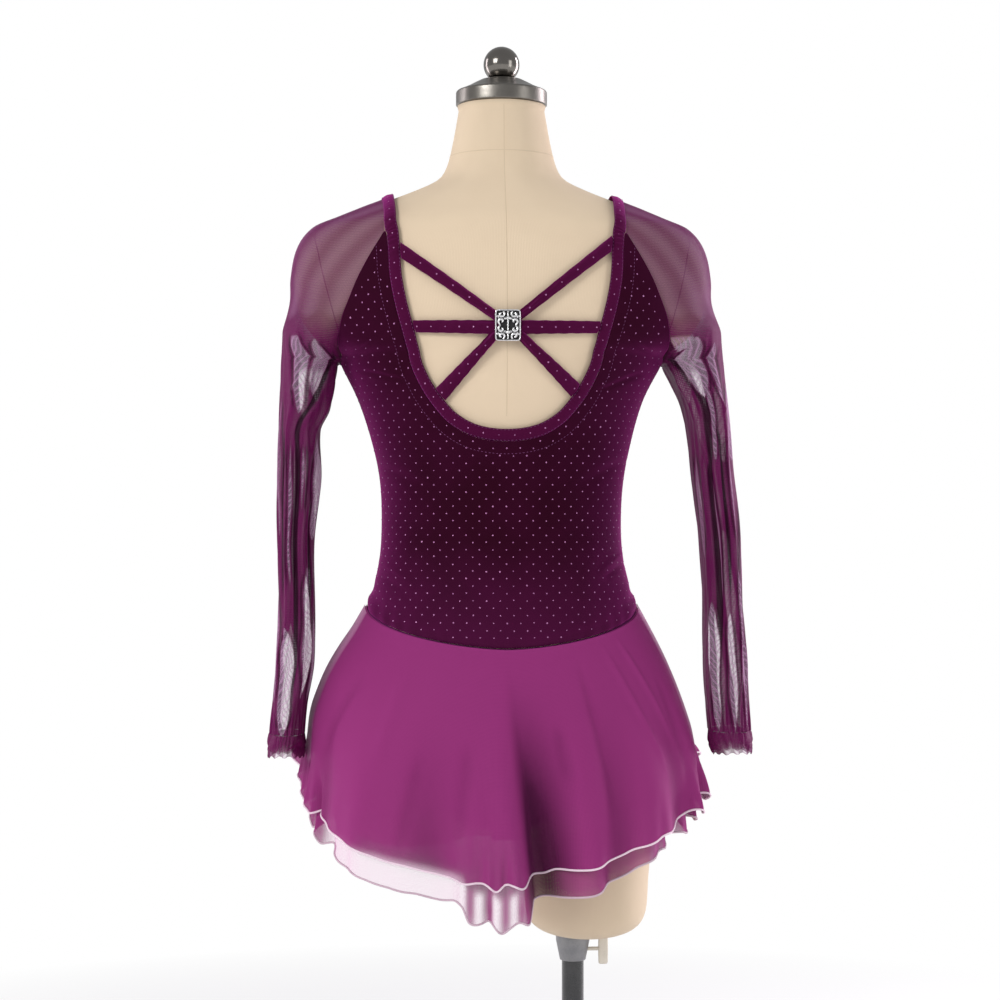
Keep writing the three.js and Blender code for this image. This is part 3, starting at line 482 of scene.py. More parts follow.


# %% [markdown]
# ## Cloth materials
# Velvet is dark where its pile points at the eye and bright where it is seen along the cloth, so
# it takes sheen and a facing blend. Power mesh and chiffon are thin: how much shows through them
# comes from the `value` on their points, which is the share of light that one layer lets pass.
# Their `shade` value is painted shade, which darkens their colour in troughs and folds.

# %% Velvet
def velvet_material(name, deep, bright, sheen):
    """Stretch velvet with a short pile, and a painted highlight in a band above the waist seam."""
    material, t, shader = new_material(name)
    uv = t.add("ShaderNodeTexCoord").outputs["UV"]
    pile = use_group(t, weave_group, Vector=uv, Pitch=0.0009, Slub=3.0)
    facing = t.add("ShaderNodeLayerWeight", Blend=0.5).outputs["Facing"]
    edge = t.math("POWER", facing, 2.1)
    nap = t.spread(pile["Tone"], 0.2, 0.8, -0.01, 0.03)
    where = t.add("ShaderNodeTexCoord").outputs["Object"]
    apart = t.add("ShaderNodeSeparateXYZ", Vector=where)
    # Painted highlight: the colour brightens by height just above the waist seam, where the cloth
    # turns up towards the light.
    low = t.spread(apart.outputs["Z"], 0.665, 0.76, 0.1, 0.0)
    share = t.math("MAXIMUM", t.math("ADD", t.math("ADD", edge, nap), low), 0.0)
    t.fill(shader, Base_Color=t.mix(share, (*deep, 1), (*bright, 1)),
           Roughness=t.spread(pile["Tone"], 0.2, 0.8, 0.62, 0.8),
           Normal=bump(t, pile["Thread"], 0.0002, 0.5), Specular_IOR_Level=0.03,
           Sheen_Weight=sheen, Sheen_Roughness=0.3, Sheen_Tint=(0.75, 0.1, 0.5, 1))
    return material


velvet = velvet_material("velvet", (0.024, 0.0012, 0.009), (0.34, 0.03, 0.22), 0.12)
band_velvet = velvet_material("band_velvet", (0.06, 0.003, 0.03), (0.36, 0.03, 0.24), 0.2)


# %% Sheer cloths
SHEER_SHEEN = 0.03
# Painted shade: where the `shade` value is 1, the cloth keeps this share of its colour.
PAINTED_SHADE_KEEPS = 0.2


def sheer_material(name, colour, light_colour, pitch, rough, lines, grain):
    """A thin cloth: its colour pales where it is clearer, and deepens by painted shade where its
    `shade` value is high. Two nets of thread over each other beat in curved dark hairlines,
    `lines` strong, and its threads lie unevenly, `grain` strong."""
    material, t, shader = new_material(name)
    uv = t.add("ShaderNodeTexCoord").outputs["UV"]
    threads = use_group(t, weave_group, Vector=uv, Pitch=pitch, Slub=1.2)
    clear = t.add("ShaderNodeAttribute", {"attribute_name": "value"}).outputs["Fac"]
    facing = t.add("ShaderNodeLayerWeight", Blend=0.5).outputs["Facing"]
    alpha = use_group(t, sheer_group, Facing=facing, Clear=clear, Thread=threads["Thread"])
    # Painted shade: the `shade` value blends the colour towards a darker copy of it.
    shade = t.add("ShaderNodeAttribute", {"attribute_name": "shade"}).outputs["Fac"]
    deep = [channel * PAINTED_SHADE_KEEPS for channel in colour]
    body = t.mix(shade, (*colour, 1), (*deep, 1))
    tint = t.mix(t.spread(clear, 0.4, 0.95), body, (*light_colour, 1))
    wave = t.add("ShaderNodeTexWave", {"wave_profile": "SIN", "bands_direction": "DIAGONAL"},
                 Vector=uv, Scale=80.0, Distortion=10.0, Detail=1.5, Detail_Scale=0.5)
    dark = t.spread(wave.outputs["Fac"], 0.4, 0.95)
    dark = t.math("MULTIPLY", dark, t.spread(clear, 0.5, 0.62, 0.05 * lines, lines))
    dark = t.math("ADD", dark, t.spread(t.noise(uv, 1100.0), 0.35, 0.65, 0.0, grain))
    open_share = t.math("SUBTRACT", 1.0, alpha["Alpha"])
    cover = t.math("ADD", alpha["Alpha"], t.math("MULTIPLY", open_share, dark))
    t.fill(shader, Base_Color=tint, Alpha=cover, Roughness=rough, Specular_IOR_Level=0.04,
           Normal=bump(t, threads["Thread"], 0.0002, 0.3), Sheen_Weight=SHEER_SHEEN,
           Sheen_Roughness=0.4, Sheen_Tint=(0.9, 0.25, 0.75, 1))
    return material


mesh_cloth = sheer_material(
    "mesh_cloth", (0.12, 0.006, 0.069), (0.6, 0.33, 0.55), 0.0016, 0.5, 0.34, 0.1
)
chiffon = sheer_material(
    "chiffon", (0.295, 0.034, 0.178), (0.85, 0.45, 0.7), 0.0011, 0.6, 0.0, 0.2
)


# %% Thread, linen
def plain_cloth(name, colour, shade, pitch, height, rough):
    """A close weave whose colour moves softly between two near tones."""
    material, t, shader = new_material(name)
    uv = t.add("ShaderNodeTexCoord").outputs["UV"]
    threads = use_group(t, weave_group, Vector=uv, Pitch=pitch, Slub=1.6)
    share = t.math("MULTIPLY", t.math("ADD", threads["Thread"], threads["Tone"]), 0.5)
    t.fill(shader, Base_Color=t.mix(share, (*shade, 1), (*colour, 1)),
           Roughness=t.spread(threads["Tone"], 0.2, 0.8, rough - 0.08, rough),
           Normal=bump(t, threads["Thread"], height), Specular_IOR_Level=0.2, Sheen_Weight=0.1)
    return material


# Name, light tone, dark tone, pitch of the threads in metres, their height, roughness.
CLOTHS = [
    ("thread_pink", (0.95, 0.8, 0.88), (0.8, 0.55, 0.7), 0.0007, 0.0001, 0.6),
    # The under hem's thread is the pink one made darker: painted shade, as that hem hangs backlit.
    ("thread_pink_painted_shade", (0.75, 0.58, 0.66), (0.5, 0.33, 0.43), 0.0007, 0.0001, 0.6),
    ("stitch_purple", (0.2, 0.05, 0.17), (0.1, 0.02, 0.08), 0.0005, 0.0001, 0.6),
    ("linen", (0.78, 0.63, 0.46), (0.66, 0.52, 0.37), 0.0009, 0.00012, 0.92),
    ("linen_seam", (0.7, 0.56, 0.4), (0.6, 0.47, 0.33), 0.0009, 0.0001, 0.9),
    ("arm_seam", (0.42, 0.3, 0.2), (0.3, 0.2, 0.13), 0.0009, 0.0001, 0.9),
]
thread_pink, thread_pink_painted_shade, stitch_purple, linen, linen_seam, arm_seam = (
    plain_cloth(*row) for row in CLOTHS
)
brief_cloth = velvet_material("brief_cloth", (0.09, 0.01, 0.06), (0.3, 0.05, 0.24), 0.3)


# %% [markdown]
# ## Metal and plastic
# The cap and ball are polished steel, the bead is silver with dark recesses, and the stand is
# black lacquer. One wear group marks them all, each by its own amount.

# %% Hard materials
def hard_material(name, colour, worn, metal, rough, scale, amount, coat=0.0):
    """A hard surface: wear moves its colour and roughness."""
    material, t, shader = new_material(name)
    where = t.add("ShaderNodeTexCoord").outputs["Object"]
    marks = use_group(t, wear_group, Vector=where, Scale=scale, Amount=amount)
    t.fill(shader, Base_Color=t.mix(marks["Mask"], (*colour, 1), (*worn, 1)),
           Roughness=t.spread(marks["Mask"], 0.0, 1.0, rough, rough + 0.25),
           Normal=bump(t, marks["Height"], 0.00003, 0.4), Metallic=metal, Coat_Weight=coat)
    return material


# Name, colour, worn colour, metal, roughness, marks for each metre, strength of the marks, coat.
FINISHES = [
    # The steel and chrome colours are far darker than bare metal: painted reflection of a dark
    # room.
    ("steel", (0.185, 0.172, 0.155), (0.19, 0.18, 0.165), 1.0, 0.3, 40.0, 0.5),
    ("chrome_painted_reflection", (0.2, 0.185, 0.17), (0.15, 0.14, 0.13), 1.0, 0.12, 40.0, 0.4),
    ("silver", (0.92, 0.92, 0.93), (0.45, 0.43, 0.43), 1.0, 0.2, 300.0, 0.6),
    ("tarnish", (0.012, 0.011, 0.012), (0.05, 0.045, 0.05), 0.3, 0.6, 300.0, 0.5),
    ("black_lacquer", (0.012, 0.012, 0.014), (0.05, 0.05, 0.052), 0.0, 0.22, 30.0, 0.5, 0.4),
    ("grey_metal", (0.22, 0.22, 0.23), (0.34, 0.34, 0.34), 0.7, 0.4, 90.0, 0.7),
    ("cream_plastic", (0.78, 0.72, 0.62), (0.6, 0.54, 0.45), 0.0, 0.45, 80.0, 0.4),
    ("foil", (0.5, 0.2, 0.42), (0.22, 0.05, 0.19), 0.3, 0.4, 500.0, 1.0),
]
steel, chrome_painted_reflection, silver, tarnish, black_lacquer, grey_metal, cream_plastic, foil = (
    hard_material(*row) for row in FINISHES
)


# %% Floor paint
def floor_material():
    """Pale paint near the stand. Further out it turns into an even white glow, so that the floor
    has no horizon: the share is an S curve of the distance from the middle."""
    material, t, shader = new_material("floor_paint")
    where = t.add("ShaderNodeTexCoord").outputs["Object"]
    marks = use_group(t, wear_group, Vector=where, Scale=2.0, Amount=0.3)
    flat = t.add("ShaderNodeVectorMath", {"operation": "LENGTH"})
    t.put(flat.inputs[0], where)
    far = t.spread(flat.outputs["Value"], 0.55, 1.7)
    far = t.math("MULTIPLY", far, far)
    black, white = (0, 0, 0, 1), (1, 1, 1, 1)
    paint = t.mix(marks["Mask"], (0.88, 0.88, 0.88, 1), (0.85, 0.85, 0.85, 1))
    t.fill(shader, Base_Color=t.mix(far, paint, black), Emission_Color=t.mix(far, black, white),
           Roughness=t.spread(marks["Mask"], 0.0, 1.0, 0.75, 0.9), Emission_Strength=1.0,
           Specular_IOR_Level=0.0)
    return material


floor_paint = floor_material()


# %% [markdown]
# ## The floor
# One pale plane, so large that its edge is never seen.

# %% Floor
FLOOR_HALF = 14000
corner = np.array([-FLOOR_HALF, FLOOR_HALF], float)
floor_x, floor_y = np.meshgrid(corner, corner)
floor_points = np.stack([floor_x, floor_y, 0 * floor_x - 0.5], -1)
floor = make_piece("floor", [(floor_points, floor_points[..., :2] * MM)])
floor.data.materials.append(floor_paint)


# %% [markdown]
# ## The dress form
# A form is padded, covered with linen and sewn down the middle. Its body and thighs are lofted
# through level rings. The three are joined by a union, and the pole's hole is cut from them.

# %% Body and thighs
THIGH_RIGHT = table("z x half_width half_depth", [
    [368, 84, 30, 40], [370, 84, 40, 50], [375, 84, 50.5, 62], [383, 84, 57.5, 70],
    [395, 84.5, 60.5, 75], [427, 85, 62, 79], [470, 87, 64, 80], [500, 88, 64, 78],
    [530, 88, 60, 74],
])
THIGH_LEFT = table("z x half_width half_depth", [
    [462, -88, 36, 48], [464, -88, 46, 58], [469, -88, 55, 68], [478, -88, 60, 74],
    [490, -88, 63, 78], [500, -88, 64, 78], [530, -88, 60, 74],
])
# The pole's middle, the radius of the hole it runs in, and the top of the thighs in the body.
POLE_X, BORE_RADIUS, THIGH_TOP = 71.5, 11.4, 530


def closed_loft(name, rings, uv):
    """Rings from the bottom up, with both ends drawn in to their middles."""
    low, high = rings[:1].mean(1, keepdims=True), rings[-1:].mean(1, keepdims=True)
    caps = [np.repeat(low, rings.shape[1], 1), rings, np.repeat(high, rings.shape[1], 1)]
    uv = np.concatenate([uv[:1] - [0, 0.03], uv, uv[-1:] + [0, 0.03]])
    return make_piece(name, [(np.concatenate(caps), uv)])


def ring_angles(columns):
    """Angles all the way round, the first and last the same."""
    return np.linspace(0, 2 * math.pi, columns + 1)


def thigh(name, rows):
    """An ellipse at each height of the table."""
    z = np.concatenate([rows["z"][0] + np.linspace(0, 14, 12), np.linspace(385, THIGH_TOP, 26)])
    z = np.unique(z[(z >= rows["z"][0]) & (z <= THIGH_TOP)])[:, None]
    angle = ring_angles(96)[None]
    x = read(rows, "z", "x", z) + read(rows, "z", "half_width", z) * np.sin(angle)
    y = -read(rows, "z", "half_depth", z) * np.cos(angle)
    rings = join(x, y, z)
    uv = join(angle * 0.07, z * MM)
    return closed_loft(name, rings, uv)


levels = np.concatenate([np.linspace(474, 500, 16), np.linspace(504, 1193, 160)])[:, None]
round_angles = ring_angles(160)[None]
inset = FORM_INSET * smooth(levels, 474, 476) * (1 - smooth(levels, 1190, 1193))
body_rings = skin(round_angles, levels, -inset + 0 * round_angles)
body_rings[[0, -1], :, :2] *= 0.98
body_uv = join(round_angles * 0.12, levels * MM)
form_cover = closed_loft("form_cover", body_rings, body_uv)
bore_z = np.array([360.0, 743.0])[:, None]
bore_angle = ring_angles(48)[None]
bore_rings = join(
    POLE_X + BORE_RADIUS * np.sin(bore_angle), -BORE_RADIUS * np.cos(bore_angle), bore_z)
tools = [
    (thigh("thigh_right", THIGH_RIGHT), "UNION"),
    (thigh("thigh_left", THIGH_LEFT), "UNION"),
    (closed_loft("bore", bore_rings, 0 * bore_rings[..., :2]), "DIFFERENCE"),
]
for tool, operation in tools:
    step = form_cover.modifiers.new(operation, "BOOLEAN")
    step.object, step.operation, step.solver = tool, operation, "EXACT"
bake(form_cover)
for tool, _ in tools:
    bpy.data.objects.remove(tool)
finish_piece(form_cover, linen, "linen", "form", "form_torso")


# %% [markdown]
# ## Seams of the form
# The cover's seams show as thin raised lines: down the middle, round the neck and round the arms.
# A welt is a low half-round carried along a path on the surface.

# %% Form seams
def welt(angle, z, width, height, out=-FORM_INSET):
    """A half-round profile carried along a path on the surface: five points across, raised by
    height * sqrt(1 - s^2) at the share s of its half width."""
    centre = on_surface(angle, z)
    normal = surface_normal(angle, z)
    along = unit(np.gradient(centre, axis=0))
    side = np.cross(normal, along)
    share = np.linspace(-1, 1, 5)[:, None, None]
    rise = out + height * (np.sqrt(1 - share ** 2) * 1.4 - 0.4)
    points = centre + side * share * width / 2 + normal * rise
    run = np.arange(len(centre)) * 0.002
    uv = join(run[None], share[..., 0] * width * MM)
    return points[::-1], uv[::-1]


def level_line(angle_from, angle_to, z, count=160):
    """A path at one height, from one angle to another."""
    return np.linspace(angle_from, angle_to, count), np.full(count, float(z))


ARMHOLE = table("z x", [
    [962, 163], [980, 168], [1010, 176], [1040, 183], [1066, 186], [1076, 170],
])
armhole_z = np.linspace(962, 1072, 70)
upright = np.linspace(880, 1188, 180)
seam_lines = [
    (0 * upright, upright), (0 * upright + math.pi, upright),
    level_line(0, 2 * math.pi, 1143),
]
form_seams = make_piece("form_seams", [welt(a, z, 1.1, 0.22) for a, z in seam_lines], 0)
finish_piece(form_seams, linen_seam, "linen", "form")
arm_lines = []
for face in ("back", "front"):
    angle, _ = place_at(read(ARMHOLE, "z", "x", armhole_z), armhole_z, face)
    arm_lines += [(angle, armhole_z), (-angle, armhole_z)]
arm_seams = make_piece("arm_seams", [welt(a, z, 1.5, 0.4) for a, z in arm_lines], 0)
finish_piece(arm_seams, arm_seam, "linen", "form")


# %% [markdown]
# ## Turned parts
# Cap, ball, pole, collar and base are turned on a lathe, so each is a profile spun round an axis.

# %% Lathe
def spun(profile, x=0.0, columns=128, fine=10):
    """A profile of (radius, height) spun round an upright axis, with points added along it."""
    profile = np.array(profile, float)
    place = np.arange(len(profile))
    dense = np.linspace(0, len(profile) - 1, (len(profile) - 1) * fine + 1)
    radius = np.interp(dense, place, profile[:, 0])[:, None]
    height = np.interp(dense, place, profile[:, 1])[:, None]
    angle = ring_angles(columns)[None]
    points = np.broadcast_arrays(x + radius * np.sin(angle), -radius * np.cos(angle), height)
    uv = join(angle * 0.05, height * MM + radius * MM)
    return np.stack(points, -1), uv


def arc(radius, height, r, start, stop, count=7):
    """Points of a quarter round on a profile, from one angle to another, in degrees."""
    turn = np.radians(np.linspace(start, stop, count))
    return [(radius + r * math.cos(t), height + r * math.sin(t)) for t in turn]


neck_cap = make_piece("neck_cap_steel", [spun(
    [(0, 1193.4), (44, 1193.4)] + arc(44.2, 1195, 1.3, -60, 0) + [(45.5, 1206)]
    + arc(43, 1206, 2.5, 0, 60) + [(40, 1209.8), (34, 1212.6), (27, 1216.4), (21, 1219.4)]
    + [(15, 1221), (10, 1221.4), (0, 1221.4)], fine=3)])
finish_piece(neck_cap, steel, "steel", "form", "neck_cap")
ball = make_piece("finial_ball", [spun(
    [(0, 1222), (11.5, 1222)] + arc(0, 1235, 18, -44, 90, 40), fine=1)])
finish_piece(ball, chrome_painted_reflection, "steel", "form", "finial")
pole = make_piece("pole_tube", [spun(
    [(0, 10.4), (11, 10.4), (11, 617), (10, 618), (0, 618)], POLE_X, fine=2)])
finish_piece(pole, black_lacquer, "black_metal", "stand", "pole")
base = make_piece("base_disc", [spun(
    [(0, 0), (178.5, 0)] + arc(178.5, 1.5, 1.5, -90, 0) + arc(176, 6.5, 4, 0, 90)
    + [(60, 11.2), (28, 12.5), (23, 15), (20, 20)] + arc(16, 22, 2, 0, 90) + [(0, 24)],
    POLE_X, columns=192, fine=3)])
finish_piece(base, black_lacquer, "black_metal", "stand", "base_plate")
collar = make_piece("collar_ring", [spun(
    [(BORE_RADIUS, 340)] + arc(12.2, 340.8, 0.8, -90, 0) + [(15, 350.4), (16.8, 359.5)]
    + arc(16.2, 366.7, 0.9, 0, 90) + [(BORE_RADIUS, 367.6), (BORE_RADIUS, 340)], POLE_X, fine=4)])
finish_piece(collar, grey_metal, "collar_metal", "form", "pole_collar")


# %% [markdown]
# ## The clamp screw
# A plastic wing on a thin stem. The wing is a rounded paddle whose section grows from nothing and
# closes again, so its ends are full and soft.

# %% Clamp screw
SCREW_Z = 350.4


def paddle(x_from, x_to, half_y, half_z, middle_z, power=3.2):
    """Superellipse sections |y/a|^p + |z/b|^p = 1 along x. Both ends close in a quarter round."""
    across = np.linspace(-1, 1, 25)[:, None]
    scale = (1 - np.abs(across) ** 6) ** (1 / 4)
    turn = ring_angles(48)[None]
    cos, sin = np.cos(turn), np.sin(turn)
    y = half_y * scale * np.sign(sin) * np.abs(sin) ** (2 / power)
    z = middle_z + half_z * scale ** 0.5 * np.sign(cos) * np.abs(cos) ** (2 / power)
    x = lerp(x_from, x_to, (across + 1) / 2) + 0 * turn
    points = np.stack([x, y, z + 0 * x], -1)
    uv = join(turn * 0.01, across * 0.01)
    return points[::-1], uv[::-1]


def tube(path, radius, sides=8, up=(0, 1, 0), closed=False):
    """A round section carried along a path of points. The radius may change along it."""
    path = np.asarray(path, float)
    along = np.gradient(path, axis=0)
    if closed:
        along[[0, -1]] = path[1] - path[-2]
    along = unit(along)
    side = unit(np.cross(along, np.asarray(up, float)))
    other = np.cross(along, side)
    turn = ring_angles(sides)[:, None, None]
    radius = np.broadcast_to(radius, len(path))[None, :, None]
    points = path + radius * (np.cos(turn) * side + np.sin(turn) * other)
    run = np.concatenate([[0], np.linalg.norm(np.diff(path, axis=0), axis=1).cumsum()]) * MM
    uv = join(run[None], turn[..., 0] * 0.001)
    return points, uv


stem_x = np.linspace(83, 99, 33)
stem_path = np.stack([stem_x, 0 * stem_x, 0 * stem_x + SCREW_Z], -1)
stem_radius = np.where(np.arange(33) % 2 == 0, 2.0, 1.75)
stem_radius[[0, -1]] = 0.01
screw = make_piece("screw_wing", [
    paddle(97, 107, 2.5, 15.5, SCREW_Z), tube(stem_path, stem_radius, 24),
])
finish_piece(screw, cream_plastic, "screw_plastic", "clamp_screw", "clamp_screw")


# %% [markdown]
# ## Neckline and raglan seams
# The neckline runs from the middle of the back over the shoulder to the middle of the front. It is
# one curve of 21 steps, so the binding, the bodice and the sleeve heads all read the same edge.

# %% Neckline
NECK_BACK = table("x z", [
    [0, 868.4], [26.7, 872], [47.2, 883], [60.8, 897.6], [71.3, 913], [80.8, 934], [86, 955],
    [90.5, 972], [96.3, 995], [100.5, 1021], [102, 1047], [104.6, 1066], [106.5, 1090],
])
NECK_FRONT = table("x z", [
    [106.5, 1090], [103, 1066], [96, 1042], [83, 1019], [61, 1001], [32, 991], [0, 988],
])
RAGLAN = table("x z", [
    [116.8, 1058], [123, 1048], [134.5, 1029], [146.2, 1005], [154, 986], [159.6, 968],
    [162, 955.6], [161, 946],
])
# Heights of the raglan seam's head and of the underarm.
RAGLAN_TOP, UNDERARM = 1058, 938
OVER_SHOULDER = 13
NECK_END = 20
neck_angle = np.concatenate([
    place_at(NECK_BACK["x"], NECK_BACK["z"], "back")[0], [math.pi / 2],
    place_at(NECK_FRONT["x"], NECK_FRONT["z"], "front")[0],
])
neck_z = np.concatenate([NECK_BACK["z"], [1102.3], NECK_FRONT["z"]])
NECK = {
    "step": np.arange(-1, NECK_END + 2, dtype=float),
    "angle": np.concatenate([-neck_angle[1:2], neck_angle, 2 * math.pi - neck_angle[-2:-1]]),
    "z": np.concatenate([neck_z[1:2], neck_z, neck_z[-2:-1]]),
}


neck_points = on_surface(NECK["angle"], NECK["z"])
neck_gaps = np.linalg.norm(np.diff(neck_points, axis=0), axis=1)
NECK["run"] = np.concatenate([[0], neck_gaps.cumsum()])
NECK["x"], NECK["y"] = neck_points[:, 0], neck_points[:, 1]
SHOULDER_BOTTOM, SHOULDER_TOP = 1000.0, 1118.0


def along_neck(step):
    """The length run at a step. The curve is read by its length, so that it doesn't wave where
    the rows of the table lie unevenly."""
    return np.interp(step, NECK["step"], NECK["run"])


def front_angle(step, angle):
    """Angles past the middle of the front count on, and both ends lie on the middle exactly."""
    angle = np.where((step > OVER_SHOULDER) & (angle < 0), angle + 2 * math.pi, angle)
    return np.where(step >= NECK_END, math.pi, np.where(step <= 0, 0, angle))


def on_top(step):
    """1 where the neckline crosses the top of the shoulder, and 0 away from it."""
    return smooth(step, 10.6, 11.8) * (1 - smooth(step, 14.4, 15.6))


def neck(step):
    """The neckline's place at a step, from its point in space."""
    step = np.asarray(step, float)
    run = along_neck(step)
    point = np.stack([read(NECK, "run", name, run) for name in "xyz"], -1)
    near, height = place_under(point)
    near = np.where((step > OVER_SHOULDER) & (near < 0), near + 2 * math.pi, near)
    above = over_shoulder(np.clip(step, 10, 16), 0.0)
    level = on_top(step)
    return lerp(near, above[0], level), lerp(height, above[1], level)


def over_shoulder(step, away):
    """Where the shoulder is nearly level: the neckline's path seen from above, moved sideways, and
    then let down onto the surface by halving the range of heights."""
    run = along_neck(step)
    x, y = read(NECK, "run", "x", run), read(NECK, "run", "y", run)
    dx = read(NECK, "run", "x", run + 4) - read(NECK, "run", "x", run - 4)
    dy = read(NECK, "run", "y", run + 4) - read(NECK, "run", "y", run - 4)
    long = np.hypot(dx, dy)
    x, y = x + 0.93 * away * dy / long, y - 0.93 * away * dx / long
    low, high = np.full(x.shape, SHOULDER_BOTTOM), np.full(x.shape, SHOULDER_TOP)
    for _ in range(30):
        middle = (low + high) / 2
        depth = np.where(y < 0, read(BODY, "z", "back", middle), read(BODY, "z", "front", middle))
        inside = (x / read(BODY, "z", "side", middle)) ** 2 + (y / depth) ** 2 < 1
        low, high = np.where(inside, middle, low), np.where(inside, high, middle)
    return place_under(np.stack([x, y, (low + high) / 2], -1))


def beside_neck(step, away):
    """The place `away` mm beside the neckline, at right angles to it, on the cloth's side."""
    step, away = np.broadcast_arrays(np.asarray(step, float), np.asarray(away, float))
    level = on_top(step)
    near, height = beside_slope(step, away)
    above = over_shoulder(np.clip(step, 10, 16), away)
    return lerp(near, above[0], level), lerp(height, above[1], level)


def beside_slope(step, away):
    """The same where the surface is steep: straight out in the plane that touches it."""
    angle, z = neck(step)
    along = unit(on_surface(*neck(step + 0.2)) - on_surface(*neck(step - 0.2)))
    side = np.cross(along, surface_normal(angle, z))
    near, height = place_under(on_surface(angle, z) + side * np.asarray(away)[..., None])
    return front_angle(step, near), height


raglan_steps = {
    "step": np.arange(9, dtype=float),
    "angle": np.append(place_at(RAGLAN["x"], RAGLAN["z"], "back")[0], math.pi / 2),
    "z": np.append(RAGLAN["z"], UNDERARM),
}
fine_steps = np.linspace(0, 8, 801)
fine_raglan_angle = read(raglan_steps, "step", "angle", fine_steps)
fine_raglan_z = read(raglan_steps, "step", "z", fine_steps)


def raglan_at(z, face):
    """The raglan seam's angle at a height, by looking the height up along the seam."""
    angle = np.interp(z, fine_raglan_z[::-1], fine_raglan_angle[::-1])
    return angle if face == "back" else math.pi - angle


# The steps at which the binding's outer edge meets the head of the raglan seam.
BINDING_WIDTH = 12
rising = np.linspace(8, OVER_SHOULDER, 500)
falling = np.linspace(OVER_SHOULDER, NECK_END, 700)
JUNCTION = {
    "back": float(np.interp(RAGLAN_TOP, beside_neck(rising, BINDING_WIDTH)[1], rising)),
    "front": float(np.interp(
        RAGLAN_TOP, beside_neck(falling, BINDING_WIDTH)[1][::-1], falling[::-1])),
}
print("binding meets the raglan seams at steps", JUNCTION)


# %% [markdown]
# ## Bodice
# Two panels of velvet, cut to the raglan seams and the waist. Each half panel is two grids: one
# from the neckline out to the side, and one below it down to the waist seam. The lower edge bulges
# a little over the seam, as a soft pile does when it is pulled down by stitches.

# %% Bodice panels
RAGLAN_LEVELS = np.array([RAGLAN_TOP, 1035, 1012, 992, 975, 964, 955, 947, UNDERARM], float)
PANEL_SHOULDER = 838
UNDERARM_EASE = 3.5
EDGE = BINDING_WIDTH + SEAM_GAP


# A panel ends this much of a step before the binding meets the raglan seam, and its last step is
# no shorter than this share of the others.
PANEL_END, SHORTEST_STEP = 0.12, 0.4


def stride(start, stop, size):
    """Steps of one size from start, and the stop itself."""
    steps = np.arange(start, stop, size)
    steps = steps[(stop - steps) / size > SHORTEST_STEP]
    return np.append(steps, stop)


PANEL_STEPS = {
    "back": stride(0, JUNCTION["back"] - PANEL_END, 1.0),
    "front": stride(NECK_END, JUNCTION["front"] + PANEL_END, -0.5),
}


def panel_side(index, count, face):
    """The panel's outer edge: down the raglan seam for eight steps, then down the side seam."""
    sign = -1 if face == "back" else 1
    gap = sign * SEAM_TURN
    last = len(RAGLAN_LEVELS) - 1
    z = np.interp(index, np.arange(last + 1), RAGLAN_LEVELS)
    low = lerp(UNDERARM - UNDERARM_EASE, PANEL_SHOULDER, (index - last) / (count - last))
    ease = UNDERARM_EASE * np.clip(index / last, 0, 1) ** 4
    angle = np.where(index >= last, math.pi / 2 + gap / 2, raglan_at(z, face) + gap)
    return angle, np.where(index >= last, low, z - ease)


def panel_places(face):
    """The two grids of a half panel, as places: beside the neckline, and below it."""
    steps = PANEL_STEPS[face]
    count = len(steps) - 1
    row = np.linspace(0, count, 105)[:, None]
    u = np.linspace(0, 1, 65)[None]
    near = beside_neck(np.interp(row, np.arange(count + 1), steps), EDGE)
    far = panel_side(count - row, count, face)
    beside = lerp(near[0], far[0], u), lerp(near[1], far[1], u)
    top_angle, top_z = beside[0][:1], beside[1][:1]
    share = np.linspace(0, 1, 79)[:, None]
    below = top_angle + 0 * share, lerp(waist(top_angle) + SEAM_GAP / 2, top_z, share)
    return beside, below


# Each row: (x0, z0, x1, z1, width, depth) in mm along the cloth.
BACK_CREASES = [
    (96, 722, 118, 738, 4.5, -1.6), (92, 730, 116, 747, 4, 1.2), (40, 680, 52, 712, 7, -0.8),
    (-30, 672, -44, 706, 8, -0.8), (-92, 708, -120, 726, 6, -1.2), (-84, 716, -118, 740, 5, 0.9),
    (70, 812, 118, 842, 9, -1.0), (-66, 806, -120, 836, 10, -0.9), (88, 905, 135, 926, 6, -1.1),
    (-96, 915, -140, 928, 6, -1.0), (10, 700, 4, 800, 12, -0.5), (-70, 690, -78, 760, 10, 0.7),
    (76, 700, 86, 770, 10, 0.6), (110, 960, 140, 945, 5, -1.0), (-112, 962, -142, 946, 5, -1.0),
]
FRONT_CREASES = [
    (60, 880, 130, 915, 9, -1.3), (-60, 884, -130, 913, 9, -1.3), (30, 700, 42, 760, 9, -0.8),
    (-36, 696, -44, 768, 10, -0.8), (90, 716, 120, 738, 5, -1.2), (-90, 712, -122, 730, 5, -1.2),
    (84, 950, 132, 958, 7, -0.9), (-88, 948, -134, 960, 7, -0.9), (0, 930, 4, 850, 14, -1.0),
]


def cloth_out(angle, z, rows):
    """How far the velvet stands out: its wall, its bulge over the waist seam, a crease table and
    a faint swell from three long waves."""
    face_angle = np.where(np.cos(angle) > 0, angle, math.pi - angle)
    face_angle = (face_angle + math.pi) % (2 * math.pi) - math.pi
    across = np.sin(face_angle) * read(BODY, "z", "side", z)
    above = z - waist(angle)
    lip = 1.5 * np.exp(-((above - 5) / 4.5) ** 2) - 0.9 * np.exp(-((above - 15) / 7) ** 2)
    swell = 0.35 * (np.sin(across / 17 + z / 41) + np.sin(z / 23 - across / 29 + 1.3))
    pucker = 0.45 * np.sin(across / 2.1 + np.sin(across / 9)) * np.exp(-(above / 12) ** 2)
    calm = smooth(above, 0, 6)
    return CLOTH_CLEAR + VELVET + lip + pucker + calm * (swell + creases(across, z, rows))


